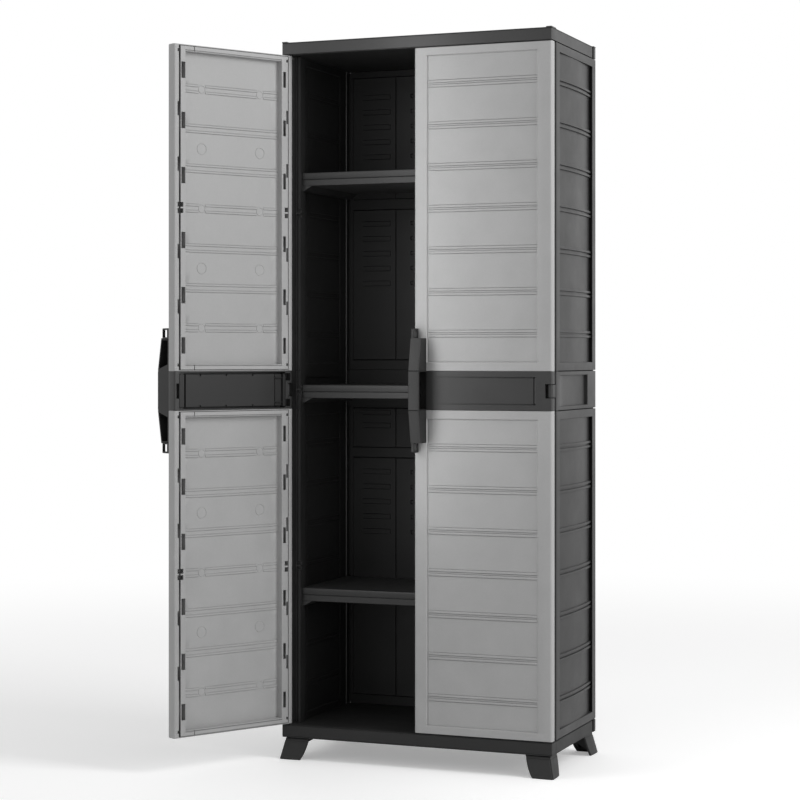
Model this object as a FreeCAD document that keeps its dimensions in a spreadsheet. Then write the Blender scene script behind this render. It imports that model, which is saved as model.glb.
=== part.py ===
"""Tall two-door storage cabinet of moulded resin, in millimetres.

The cabinet stands on Z = 0 with its middle over the origin. The front faces -Y, and +X is to the right
of someone who looks at the front. Every piece is modelled in its place with both doors shut, and the
pieces of the left door then get the turn about its hinge that opens it.
"""
import FreeCAD, Part
import os
import re
import Sketcher

# Driving sizes: name, value in millimetres or degrees, what it sets.
SIZES = [
    ("cabinet_width", 682, "outside width"),
    ("cabinet_depth", 358, "outside depth with the doors shut, without the handles"),
    ("foot_height", 53, "floor to the underside of the base"),
    ("base_height", 31, "height of the base"),
    ("opening_height", 1616, "top of the base to the underside of the top cap"),
    ("cap_height", 30, "height of the top cap without its corner studs"),
    ("belt_height", 92, "height of the belt between the lower and the upper half"),
    ("skin", 2, "wall of a moulded panel"),
    ("hinge_block", 22, "side of the solid block round an end pin's hole in the base or the cap"),
    ("side_thickness", 28, "thickness of a side panel"),
    ("side_frame", 30, "plain border of a side panel at its front and rear"),
    ("side_recess", 7, "depth of the fields in a side panel"),
    ("side_rail_rise", 4, "how far a rail stands up from a side panel's fields"),
    ("jamb_width", 34, "width of a side panel's front post, seen from the front"),
    ("jamb_depth", 30, "depth of that post"),
    ("panel_frame", 20, "plain border of a panel at its top and bottom"),
    ("rail_pitch", 97.85, "spacing of the rails across a panel"),
    ("rail_height", 16.6, "height of one rail, which is a pair of ridges"),
    ("rail_ridge", 6.2, "height of one ridge of a rail"),
    ("side_belt_border", 10, "plain border of a side's belt above and below its field"),
    ("side_belt_rear", 71, "plain border of that belt at the rear"),
    ("door_thickness", 28, "thickness of a door"),
    ("door_back_gap", 4, "air between a shut door and the side panel"),
    ("door_end_gap", 1.5, "air above and below a door"),
    ("door_meeting_gap", 5, "air between the two doors"),
    ("door_front_round", 5, "rounding of a door's front upright edges"),
    ("door_back_round", 8, "rounding of a door's rear edge beside the hinge"),
    ("door_free_round", 4, "rounding of a door's rear edge beside the other door"),
    ("door_frame_hinge", 37, "plain border of a door front on the hinge side"),
    ("door_frame_free", 32, "plain border of a door front on the free side"),
    ("door_recess", 2.5, "depth of the fields in a door front"),
    ("door_rail_rise", 1.5, "how far a rail stands up from a door's fields"),
    ("lip_hinge", 8, "turned-in lip of the outer shell on the hinge side"),
    ("lip_free", 12, "turned-in lip of the outer shell on the free side"),
    ("seam_gap", 0.3, "joint round an inner shell or a belt cover"),
    ("inner_border_hinge", 35.5, "hinge edge of the door to the hollow in its inner face"),
    ("inner_border_free", 30.5, "free edge of the door to that hollow"),
    ("inner_border_end", 15, "end of a door panel to that hollow"),
    ("inner_recess", 18.5, "depth of that hollow"),
    ("inner_rail_rise", 1.5, "how far a rail stands up from the floor of that hollow"),
    ("inner_rail_pitch", 93.3, "spacing of those rails"),
    ("inner_rail_height", 20.4, "height of one of those rails, which is a pair of ridges"),
    ("inner_rail_ridge", 5.7, "height of one ridge of such a rail"),
    ("slot_length", 38, "height of a clip window in an inner shell"),
    ("slot_width", 9, "width of a clip window"),
    ("slot_inset_hinge", 26.5, "hinge edge of the door to the middle of its clip windows"),
    ("slot_inset_free", 23.5, "free edge of the door to the middle of its clip windows"),
    ("slot_near", 75.5, "middle of a panel to the nearest clip windows"),
    ("slot_middle", 203.5, "middle of a panel to the next clip windows"),
    ("slot_far", 320.5, "middle of a panel to the outer clip windows"),
    ("belt_border", 14, "plain border of a door belt above and below its field"),
    ("belt_frame_hinge", 39, "plain border of a door belt on the hinge side"),
    ("belt_frame_free", 52, "plain border of a door belt on the free side"),
    ("belt_wall", 4, "wall of a door belt"),
    ("belt_pocket_start", 24, "hinge edge of the door to the hollow of its belt"),
    ("hinge_inset", 8, "hinge axis to the side of the cabinet"),
    ("hinge_setback", 13, "hinge axis to the face of the door"),
    ("pin_radius", 4, "radius of the top and bottom hinge pins"),
    ("pin_seat", 16, "length of such a pin inside the door"),
    ("pin_reach", 7, "length of such a pin inside the base or the cap"),
    ("pin_air", 0.1, "radial air round a hinge pin that turns"),
    ("pin_hold", 0.05, "radial air round a hinge pin in its own door"),
    ("boss_width", 20, "hinge edge of the door to the far side of a pin boss"),
    ("boss_height", 20, "height of a pin boss"),
    ("knuckle_radius", 7, "radius of the knuckle in the middle of the door"),
    ("knuckle_height", 30, "height of that knuckle"),
    ("knuckle_air", 1.5, "air round the knuckle in the notch of the belt"),
    ("tongue_thickness", 3.5, "thickness of the tongue that carries the knuckle"),
    ("middle_pin_radius", 3, "radius of the pin through the knuckle"),
    ("middle_pin_seat", 10, "length of that pin inside the belt at each end"),
    ("handle_width", 27, "width of a handle"),
    ("handle_inset", 3, "free edge of the door to the side of the handle"),
    ("handle_length", 292, "length of a handle with its padlock eyes"),
    ("handle_body", 246, "length of a handle without the eyes"),
    ("handle_grip", 92, "length of the straight grip in the middle"),
    ("handle_reach", 50, "how far the grip stands out from the door"),
    ("handle_end_reach", 35, "how far the ends of the handle body stand out"),
    ("handle_wall", 5, "wall of a handle"),
    ("handle_foot", 6, "wall of a handle against the door"),
    ("handle_slant", 11, "how much further from the middle the hollow of an end starts beside the door"),
    ("eye_reach", 30, "how far a padlock eye stands out from the door"),
    ("eye_thickness", 7, "thickness of a padlock eye"),
    ("eye_wall", 4, "width of the bars above and below a padlock eye's hole"),
    ("eye_bar", 3, "width of the bar at a padlock eye's outer end"),
    ("shelf_height", 32, "height of a shelf"),
    ("shelf_side_air", 1, "air between a shelf and what is beside it"),
    ("shelf_setback", 13, "front of the side panels to the front of a shelf"),
    ("shelf_low_top", 326, "top of the base to the top of the lower shelf"),
    ("shelf_middle_top", 819, "top of the base to the top of the middle shelf"),
    ("shelf_high_top", 1334, "top of the base to the top of the upper shelf"),
    ("shelf_step", 2, "how far the lower band of a shelf front lies back"),
    ("shelf_step_height", 16, "height of that lower band"),
    ("bracket_width", 30, "width of a shelf bracket"),
    ("bracket_height", 12, "height of a shelf bracket"),
    ("bracket_root", 8, "width of a shelf bracket at its lower edge"),
    ("back_thickness", 12, "thickness of the back"),
    ("back_inset", 2, "rear edge of the side panels to the rear of the back"),
    ("back_field_rise", 4, "how far the fields of the back stand forward"),
    ("back_field_margin", 24, "plain strip between the fields of the back"),
    ("anchor_radius", 3, "radius of a wall anchor hole"),
    ("anchor_spacing", 400, "distance between the two wall anchor holes"),
    ("anchor_drop", 12, "underside of the cap to the wall anchor holes"),
    ("stud_width", 14, "width of a corner stud on the cap"),
    ("stud_depth", 34, "depth of a corner stud on the cap"),
    ("stud_rise", 2, "how far a corner stud stands up"),
    ("foot_width", 60, "length of each arm of a foot, at its top"),
    ("foot_width_low", 54, "length of each arm of a foot, at the floor"),
    ("foot_wall", 7, "wall of a foot"),
    ("foot_inset", 7, "side of the base to the outer face of a foot, at its top"),
    ("foot_splay", 12, "how far a foot leans out by the floor"),
    ("foot_plate", 5, "thickness of the plate between a foot and the base"),
    ("foot_web_reach", 20, "arm of a foot to the tip of the web behind it, at the base"),
    ("foot_web_height", 45, "height of a web where it meets the wall of the foot"),
    ("foot_web_setback", 32, "outer face of a foot to a web, at its top"),
    ("foot_web_thickness", 5, "thickness of a web"),
    ("left_door_opening", 120, "degrees that the left door stands open"),
]
NAMES = {alias for alias, value, note in SIZES}
RAILS = range(-3, 4)
BACK_COLUMNS = 3
BACK_ROWS = 4

doc = FreeCAD.newDocument("Cabinet")
sheet = doc.addObject("Spreadsheet::Sheet", "Sizes")
for row, (alias, value, note) in enumerate(SIZES, start=1):
    sheet.set(f"A{row}", alias)
    sheet.set(f"B{row}", str(value))
    sheet.set(f"C{row}", note)
    sheet.setAlias(f"B{row}", alias)
doc.recompute()

# Places that follow from the sizes.
HALF_WIDTH = "cabinet_width / 2"
FRONT = "-cabinet_depth / 2"
REAR = "cabinet_depth / 2"
FLOOR = "(foot_height + base_height)"
CEILING = f"({FLOOR} + opening_height)"
PANEL = "((opening_height - belt_height) / 2)"
BELT_LOW = f"({FLOOR} + {PANEL})"
BELT_HIGH = f"({BELT_LOW} + belt_height)"
BELT_MIDDLE = f"({FLOOR} + opening_height / 2)"
CARCASS_FRONT = f"({FRONT} + door_thickness + door_back_gap)"
INNER_WALL = f"({HALF_WIDTH} - side_thickness)"
DOOR_WIDTH = f"({HALF_WIDTH} - door_meeting_gap / 2)"
DOOR_BACK = f"({FRONT} + door_thickness)"
HINGE_Y = f"({FRONT} + hinge_setback)"
BACK_FRONT = f"({REAR} - back_inset - back_thickness)"
LEVELS = {
    "lower": (FLOOR, BELT_LOW),
    "upper": (BELT_HIGH, CEILING),
}
DOOR_LEVELS = {
    "lower": (f"{FLOOR} + door_end_gap", BELT_LOW),
    "upper": (BELT_HIGH, f"{CEILING} - door_end_gap"),
}
SIDES = ("left", "right")
nodes = {}


def linked(formula):
    """The formula with each size name pointed at its cell."""
    return re.sub(r"[a-z_]+", lambda word: ("Sizes." if word[0] in NAMES else "") + word[0], formula)


def bind(thing, setting, formula):
    thing.setExpression(setting, linked(formula))


def number(formula):
    return float(sheet.evalExpression(linked(formula)))


def across(side, low, high):
    """A stretch of X on the right half, or the same stretch mirrored to the left half."""
    return (low, high) if side == "right" else (f"-({high})", f"-({low})")


def from_hinge(side, near, far):
    """A stretch of X on a shut door, given as distances from the outer side of the cabinet."""
    return across(side, f"{HALF_WIDTH} - ({far})", f"{HALF_WIDTH} - ({near})")


def from_free(side, near, far):
    """A stretch of X on a shut door, given as distances from the door's free edge."""
    return from_hinge(side, f"{DOOR_WIDTH} - ({far})", f"{DOOR_WIDTH} - ({near})")


def block(name, x, y, z):
    """A box between the low and the high formula of each axis."""
    box = doc.addObject("Part::Box", name)
    for axis, edge, (low, high) in zip("xyz", ("Length", "Width", "Height"), (x, y, z)):
        bind(box, f"Placement.Base.{axis}", low)
        bind(box, edge, f"({high}) - ({low})")
    return box


def rod(name, x, y, z, radius):
    """An upright cylinder between the low and the high formula of z."""
    cylinder = doc.addObject("Part::Cylinder", name)
    bind(cylinder, "Placement.Base.x", x)
    bind(cylinder, "Placement.Base.y", y)
    bind(cylinder, "Placement.Base.z", z[0])
    bind(cylinder, "Height", f"({z[1]}) - ({z[0]})")
    bind(cylinder, "Radius", radius)
    return cylinder


def joined(name, pieces):
    fusion = doc.addObject("Part::MultiFuse", name)
    fusion.Shapes = pieces
    fusion.Refine = True
    return fusion


def less(name, solid, tools):
    cut = doc.addObject("Part::Cut", name)
    cut.Base = solid
    cut.Tool = tools[0] if len(tools) == 1 else joined(f"{name}_tools", tools)
    cut.Refine = True
    return cut


def outline(body, name, plane, points, offset):
    """A closed sketch of straight lines in one of the body's origin planes, each point bound to the sheet."""
    sketch = body.newObject("Sketcher::SketchObject", name)
    base = next(item for item in body.Origin.OriginFeatures if item.Role == plane)
    sketch.AttachmentSupport = [(base, "")]
    sketch.MapMode = "FlatFace"
    bind(sketch, "AttachmentOffset.Base.z", offset)
    spots = [FreeCAD.Vector(number(a), number(b), 0) for a, b in points]
    for index, spot in enumerate(spots):
        sketch.addGeometry(Part.LineSegment(spot, spots[(index + 1) % len(spots)]))
    for index, (a, b) in enumerate(points):
        following = (index + 1) % len(points)
        sketch.addConstraint(Sketcher.Constraint("Coincident", index, 2, following, 1))
        for kind, formula in (("DistanceX", a), ("DistanceY", b)):
            place = sketch.addConstraint(Sketcher.Constraint(kind, -1, 1, index, 1, number(formula)))
            bind(sketch, f"Constraints[{place}]", formula)
    return sketch


def prism(name, plane, points, low, high):
    """A PartDesign pad of an outline, from low to high along the plane's own axis."""
    body = doc.addObject("PartDesign::Body", name)
    # The XZ plane looks towards -Y, so its pad starts at the high end.
    offset = f"-({high})" if plane == "XZ_Plane" else low
    sketch = outline(body, f"{name}_outline", plane, points, offset)
    pad = body.newObject("PartDesign::Pad", f"{name}_pad")
    pad.Profile = sketch
    bind(pad, "Length", f"({high}) - ({low})")
    body.Tip = pad
    doc.recompute()
    return body


def rounded_block(name, x, y, z, rounds):
    """A box whose upright edges are rounded: rounds lists the x, the y and the radius of each one."""
    corners = [(x[0], y[0]), (x[1], y[0]), (x[1], y[1]), (x[0], y[1])]
    body = prism(name, "XY_Plane", corners, z[0], z[1])
    for count, (edge_x, edge_y, radius) in enumerate(rounds):
        spot = (number(edge_x), number(edge_y))
        feature = body.Tip
        found = []
        for index, edge in enumerate(feature.Shape.Edges, start=1):
            if all(abs(v.X - spot[0]) + abs(v.Y - spot[1]) < 0.001 for v in edge.Vertexes):
                found.append(f"Edge{index}")
        fillet = body.newObject("PartDesign::Fillet", f"{name}_round_{count}")
        fillet.Base = (feature, found)
        bind(fillet, "Radius", radius)
        body.Tip = fillet
        doc.recompute()
    return body


def node(name, thing):
    """Makes a finished object a sub-part of the cabinet, under its own label."""
    thing.Label = name
    nodes[name] = thing
    return thing


def open_left_door(thing, start):
    """Turns a piece of the left door about its hinge axis, to where the door stands open.

    start is the x and the y of the piece's own placement while the door is shut.
    """
    turn = "-left_door_opening"
    from_axis_x = f"({start[0]} - ({hinge_x('left')}))"
    from_axis_y = f"({start[1]} - {HINGE_Y})"
    bind(thing, "Placement.Rotation.Angle", turn)
    turned_x = f"{from_axis_x} * cos({turn}) - {from_axis_y} * sin({turn})"
    turned_y = f"{from_axis_x} * sin({turn}) + {from_axis_y} * cos({turn})"
    bind(thing, "Placement.Base.x", f"{hinge_x('left')} + {turned_x}")
    bind(thing, "Placement.Base.y", f"{HINGE_Y} + {turned_y}")


def door_node(name, side, thing, start=("0", "0")):
    """A sub-part of a door. The left door is turned open."""
    node(f"{side}_{name}", thing)
    if side == "left":
        thing.Placement.Rotation.Axis = FreeCAD.Vector(0, 0, 1)
        open_left_door(thing, start)


def hinge_x(side):
    return f"{HALF_WIDTH} - hinge_inset" if side == "right" else f"hinge_inset - {HALF_WIDTH}"


def make_slab(name, z, hole_z):
    """A hollow double wall over the whole footprint, with a solid block round each end pin's hole."""
    shell = block(f"{name}_shell", (f"-{HALF_WIDTH}", HALF_WIDTH), (FRONT, REAR), z)
    hollow = block(
        f"{name}_hollow",
        (f"-{HALF_WIDTH} + skin", f"{HALF_WIDTH} - skin"),
        (f"{FRONT} + skin", f"{REAR} - skin"),
        (f"{z[0]} + skin", f"{z[1]} - skin"),
    )
    blocks = []
    holes = []
    for side in SIDES:
        x = across(side, f"{HALF_WIDTH} - hinge_block", f"{HALF_WIDTH} - skin / 2")
        y = (f"{FRONT} + skin / 2", f"{FRONT} + hinge_block")
        blocks.append(block(f"{name}_{side}_block", x, y, (f"{z[0]} + skin / 2", f"{z[1]} - skin / 2")))
        holes.append(rod(f"{name}_{side}_hole", hinge_x(side), HINGE_Y, hole_z, "pin_radius + pin_air"))
    walls = less(f"{name}_walls", shell, [hollow])
    return less(f"{name}_body", joined(f"{name}_solid", [walls] + blocks), holes)


def make_base():
    """The base, which the doors' lower pins turn in."""
    hole_z = (f"{FLOOR} - pin_reach - door_end_gap", f"{FLOOR} + 1")
    node("base", make_slab("base", ("foot_height", FLOOR), hole_z))


def make_cap():
    """The top cap, which the doors' upper pins turn in, with a low stud on each corner."""
    top = f"({CEILING} + cap_height)"
    hole_z = (f"{CEILING} - 1", f"{CEILING} + pin_reach + door_end_gap")
    body = make_slab("cap", (CEILING, top), hole_z)
    studs = []
    for side in SIDES:
        x = across(side, f"{HALF_WIDTH} - stud_width", HALF_WIDTH)
        for end, y in (("front", (FRONT, f"{FRONT} + stud_depth")), ("rear", (f"{REAR} - stud_depth", REAR))):
            studs.append(block(f"cap_stud_{end}_{side}", x, y, (f"{top} - skin", f"{top} + stud_rise")))
    node("top_cap", joined("cap_with_studs", [body] + studs))


def make_foot(end, side):
    """A foot: two walls in an L that lean out towards the floor, a plate on top, and two crossed webs."""
    name = f"foot_{end}_{side}"
    flip_x = 1 if side == "left" else -1
    flip_y = 1 if end == "front" else -1

    def corner_plan(inset, arm):
        """The L in plan, from the outer corner of the foot inwards."""
        steps = [(0, 0), (1, 0), (1, 2), (2, 2), (2, 1), (0, 1)]
        reach = {0: inset, 1: f"{inset} + {arm}", 2: f"{inset} + foot_wall"}
        return [place(reach[a], reach[b]) for a, b in steps]

    def place(a, b):
        x = f"{flip_x} * (-({HALF_WIDTH}) + {a})"
        y = f"{flip_y} * ({FRONT} + {b})"
        return x, y

    body = doc.addObject("PartDesign::Body", f"{name}_walls")
    top = outline(body, f"{name}_top", "XY_Plane", corner_plan("foot_inset", "foot_width"), "foot_height")
    low = outline(
        body, f"{name}_low", "XY_Plane", corner_plan("foot_inset - foot_splay", "foot_width_low"), "0"
    )
    loft = body.newObject("PartDesign::AdditiveLoft", f"{name}_loft")
    loft.Profile = top
    loft.Sections = [low]
    loft.Ruled = True
    body.Tip = loft
    doc.recompute()

    def stretch(low_end, high_end, flip, edge):
        """A stretch measured in from one side of the cabinet, turned round where the foot is mirrored."""
        low_place = f"{edge} + {low_end}"
        high_place = f"{edge} + {high_end}"
        return (low_place, high_place) if flip == 1 else (f"-({high_place})", f"-({low_place})")

    edge_x = f"-({HALF_WIDTH})"
    plate_size = ("foot_inset", "foot_inset + foot_width")
    plate = block(
        f"{name}_plate",
        stretch(*plate_size, flip_x, edge_x),
        stretch(*plate_size, flip_y, FRONT),
        ("foot_height - foot_plate", "foot_height"),
    )
    web = ("foot_inset + foot_web_setback", "foot_inset + foot_web_setback + foot_web_thickness")

    def web_outline(flip, edge):
        """A web under the base: it starts inside a leaning wall and its lower edge climbs to the base."""
        wall_middle = "foot_inset + foot_wall / 2"
        lean = "foot_splay * foot_web_height / foot_height"
        near_top, near_low, far = (
            f"{flip} * ({edge} + {inward})"
            for inward in (wall_middle, f"{wall_middle} - {lean}", "foot_inset + foot_width + foot_web_reach")
        )
        return [(near_top, "foot_height"), (near_low, "foot_height - foot_web_height"), (far, "foot_height")]

    front_web = prism(
        f"{name}_web_x", "XZ_Plane", web_outline(flip_x, edge_x), *stretch(*web, flip_y, FRONT)
    )
    side_web = prism(
        f"{name}_web_y", "YZ_Plane", web_outline(flip_y, FRONT), *stretch(*web, flip_x, edge_x)
    )
    node(name, joined(f"{name}_whole", [body, plate, front_web, side_web]))


def rails(name, x, y, level, kind="rail"):
    """The rails across a panel, spaced evenly about its middle. Each one is a pair of ridges."""
    low, high = level
    ridges = []
    for count in RAILS:
        middle = f"(({low} + {high}) / 2 + {count} * {kind}_pitch)"
        bottom = f"({middle} - {kind}_height / 2)"
        top = f"({middle} + {kind}_height / 2)"
        ridges.append(block(f"{name}_ridge_{len(ridges)}", x, y, (bottom, f"{bottom} + {kind}_ridge")))
        ridges.append(block(f"{name}_ridge_{len(ridges)}", x, y, (f"{top} - {kind}_ridge", top)))
    return ridges


def make_side_panel(level, side):
    """A side panel: double wall, a post along its front edge, and fields between rails on its outer face."""
    name = f"side_panel_{level}_{side}"
    low, high = LEVELS[level]
    wall = block(f"{name}_wall", across(side, INNER_WALL, HALF_WIDTH), (CARCASS_FRONT, REAR), (low, high))
    post = block(
        f"{name}_post",
        across(side, f"{HALF_WIDTH} - jamb_width", f"{INNER_WALL} + skin"),
        (CARCASS_FRONT, f"{CARCASS_FRONT} + jamb_depth"),
        (low, high),
    )
    hollow = block(
        f"{name}_hollow",
        across(side, f"{INNER_WALL} + skin", f"{HALF_WIDTH} - side_recess - skin"),
        (f"{CARCASS_FRONT} + skin", f"{REAR} - skin"),
        (f"{low} + skin", f"{high} - skin"),
    )
    fields_y = (f"{CARCASS_FRONT} + side_frame", f"{REAR} - side_frame")
    fields = block(
        f"{name}_fields",
        across(side, f"{HALF_WIDTH} - side_recess", f"{HALF_WIDTH} + 1"),
        fields_y,
        (f"{low} + panel_frame", f"{high} - panel_frame"),
    )
    floor = f"{HALF_WIDTH} - side_recess"
    rail_x = across(side, f"{floor} - skin / 2", f"{floor} + side_rail_rise")
    bars = rails(name, rail_x, fields_y, (low, high))
    shell = less(f"{name}_shell", joined(f"{name}_solid", [wall, post]), [hollow, fields])
    node(name, joined(f"{name}_whole", [shell] + bars))


def make_side_connector(side):
    """The belt of a side, with the tongue and the knuckle that hold the door's middle pin."""
    name = f"side_connector_{side}"
    level = (BELT_LOW, BELT_HIGH)
    wall = block(f"{name}_wall", across(side, INNER_WALL, HALF_WIDTH), (CARCASS_FRONT, REAR), level)
    post = block(
        f"{name}_post",
        across(side, f"{HALF_WIDTH} - jamb_width", f"{INNER_WALL} + skin"),
        (CARCASS_FRONT, f"{CARCASS_FRONT} + jamb_depth"),
        level,
    )
    field = block(
        f"{name}_field",
        across(side, f"{HALF_WIDTH} - side_recess", f"{HALF_WIDTH} + 1"),
        (f"{CARCASS_FRONT} + side_frame", f"{REAR} - side_belt_rear"),
        (f"{BELT_LOW} + side_belt_border", f"{BELT_HIGH} - side_belt_border"),
    )
    hollow = block(
        f"{name}_hollow",
        across(side, f"{INNER_WALL} + skin", f"{HALF_WIDTH} - side_recess - skin"),
        (f"{CARCASS_FRONT} + jamb_depth / 2", f"{REAR} - skin"),
        (f"{BELT_LOW} + skin", f"{BELT_HIGH} - skin"),
    )
    knuckle_z = (f"{BELT_MIDDLE} - knuckle_height / 2", f"{BELT_MIDDLE} + knuckle_height / 2")
    outer = f"{HALF_WIDTH} - hinge_inset + knuckle_radius"
    tongue = block(
        f"{name}_tongue",
        across(side, f"{outer} - tongue_thickness", outer),
        (HINGE_Y, f"{CARCASS_FRONT} + skin"),
        knuckle_z,
    )
    barrel = rod(f"{name}_barrel", hinge_x(side), HINGE_Y, knuckle_z, "knuckle_radius")
    through = (f"{knuckle_z[0]} - 1", f"{knuckle_z[1]} + 1")
    bore = rod(f"{name}_bore", hinge_x(side), HINGE_Y, through, "middle_pin_radius + pin_air")
    solid = joined(f"{name}_solid", [wall, post, tongue, barrel])
    node(name, less(f"{name}_whole", solid, [field, hollow, bore]))


def back_x():
    return f"-{INNER_WALL}", INNER_WALL


def make_back_panel(level):
    """Half of the back: a hollow sheet with fields that stand forward, the upper half with anchor holes."""
    name = f"back_panel_{level}"
    low, high = LEVELS[level]
    rear = f"{REAR} - back_inset"
    sheet_block = block(f"{name}_sheet", back_x(), (BACK_FRONT, rear), (low, high))
    hollow = block(
        f"{name}_hollow",
        (f"-{INNER_WALL} + back_field_margin", f"{INNER_WALL} - back_field_margin"),
        (f"{BACK_FRONT} + skin", f"{rear} - skin"),
        (f"{low} + back_field_margin", f"{high} - back_field_margin"),
    )
    width = f"((2 * {INNER_WALL} - back_field_margin) / {BACK_COLUMNS})"
    height = f"(({PANEL} - back_field_margin) / {BACK_ROWS})"
    fields = []
    tools = [hollow]
    for column in range(BACK_COLUMNS):
        for line in range(BACK_ROWS):
            field = f"{name}_field_{column}_{line}"
            x_low = f"-{INNER_WALL} + back_field_margin + {column} * {width}"
            z_low = f"{low} + back_field_margin + {line} * {height}"
            x_high = f"{x_low} + {width} - back_field_margin"
            z_high = f"{z_low} + {height} - back_field_margin"
            front = f"{BACK_FRONT} - back_field_rise"
            fields.append(block(field, (x_low, x_high), (front, f"{BACK_FRONT} + skin / 2"), (z_low, z_high)))
            tools.append(block(
                f"{field}_hollow",
                (f"{x_low} + skin", f"{x_high} - skin"),
                (f"{front} + skin", f"{BACK_FRONT} + skin * 2"),
                (f"{z_low} + skin", f"{z_high} - skin"),
            ))
    if level == "upper":
        tools += anchor_holes()
    node(name, less(f"{name}_whole", joined(f"{name}_solid", [sheet_block] + fields), tools))


def anchor_holes():
    """Round holes through the back for the screws that hold the cabinet to a wall."""
    holes = []
    for side in SIDES:
        hole = doc.addObject("Part::Cylinder", f"anchor_hole_{side}")
        sign = "" if side == "right" else "-"
        bind(hole, "Radius", "anchor_radius")
        bind(hole, "Height", "back_thickness + 2")
        bind(hole, "Placement.Base.x", f"{sign}anchor_spacing / 2")
        bind(hole, "Placement.Base.y", f"{REAR} - back_inset + 1")
        bind(hole, "Placement.Base.z", f"{CEILING} - anchor_drop")
        hole.Placement.Rotation = FreeCAD.Rotation(FreeCAD.Vector(1, 0, 0), 90)
        holes.append(hole)
    return holes


def make_back_connector():
    """The belt of the back, a hollow double wall."""
    rear = f"{REAR} - back_inset"
    whole = block("back_connector_block", back_x(), (BACK_FRONT, rear), (BELT_LOW, BELT_HIGH))
    hollow = block(
        "back_connector_hollow",
        (f"-{INNER_WALL} + skin", f"{INNER_WALL} - skin"),
        (f"{BACK_FRONT} + skin", f"{rear} - skin"),
        (f"{BELT_LOW} + skin", f"{BELT_HIGH} - skin"),
    )
    node("back_connector", less("back_connector_whole", whole, [hollow]))


def make_shelf(level, top):
    """A shelf: a hollow double wall, notched round the posts, whose front has a lower band that lies back."""
    name = f"shelf_{level}"
    reach = f"({INNER_WALL} - shelf_side_air)"
    nose_reach = f"({HALF_WIDTH} - jamb_width - shelf_side_air)"
    front = f"({CARCASS_FRONT} + shelf_setback)"
    behind_posts = f"({CARCASS_FRONT} + jamb_depth + shelf_side_air)"
    rear = f"({BACK_FRONT} - back_field_rise - shelf_side_air)"
    z = (f"{FLOOR} + {top} - shelf_height", f"{FLOOR} + {top}")
    plate = block(f"{name}_plate", (f"-{reach}", reach), (behind_posts, rear), z)
    nose = block(f"{name}_nose", (f"-{nose_reach}", nose_reach), (front, f"{behind_posts} + skin"), z)
    inside_z = (f"{z[0]} + skin", f"{z[1]} - skin")
    hollow = block(
        f"{name}_hollow",
        (f"-{reach} + skin", f"{reach} - skin"),
        (f"{behind_posts} + skin", f"{rear} - skin"),
        inside_z,
    )
    nose_hollow = block(
        f"{name}_nose_hollow",
        (f"-{nose_reach} + skin", f"{nose_reach} - skin"),
        (f"{front} + shelf_step + skin", f"{behind_posts} + skin * 2"),
        inside_z,
    )
    step = block(
        f"{name}_step",
        (f"-{reach}", reach),
        (f"{front} - 1", f"{front} + shelf_step"),
        (f"{z[0]} - 1", f"{z[0]} + shelf_step_height"),
    )
    node(name, less(f"{name}_whole", joined(f"{name}_solid", [plate, nose]), [hollow, nose_hollow, step]))
    for side in SIDES:
        make_bracket(level, side, z[0], (f"{front} + shelf_step", rear))


def make_bracket(level, side, top, y):
    """A bracket under the end of a shelf, with a slanted lower edge and a notch for the post."""
    sign = "" if side == "right" else "-"
    low = f"{top} - bracket_height"
    profile = [
        (INNER_WALL, top),
        (INNER_WALL, low),
        (f"({INNER_WALL} - bracket_root)", low),
        (f"({INNER_WALL} - bracket_width)", top),
    ]
    points = [(f"{sign}{x}", z) for x, z in profile]
    name = f"shelf_bracket_{level}_{side}"
    whole = prism(f"{name}_prism", "XZ_Plane", points, y[0], y[1])
    notch = block(
        f"{name}_notch",
        across(side, f"{HALF_WIDTH} - jamb_width", f"{INNER_WALL} + 1"),
        (f"{y[0]} - 1", f"{CARCASS_FRONT} + jamb_depth"),
        (f"{low} - 1", f"{top} + 1"),
    )
    node(name, less(f"{name}_notched", whole, [notch]))


def door_blank(name, side, z):
    """A door's full thickness between two levels, with its upright edges rounded."""
    x = from_hinge(side, "0", DOOR_WIDTH)
    hinge_edge = x[1] if side == "right" else x[0]
    free_edge = x[0] if side == "right" else x[1]
    rounds = [
        (hinge_edge, FRONT, "door_front_round"),
        (hinge_edge, DOOR_BACK, "door_back_round"),
        (free_edge, FRONT, "door_front_round"),
        (free_edge, DOOR_BACK, "door_free_round"),
    ]
    return rounded_block(name, x, (FRONT, DOOR_BACK), z, rounds)


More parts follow.
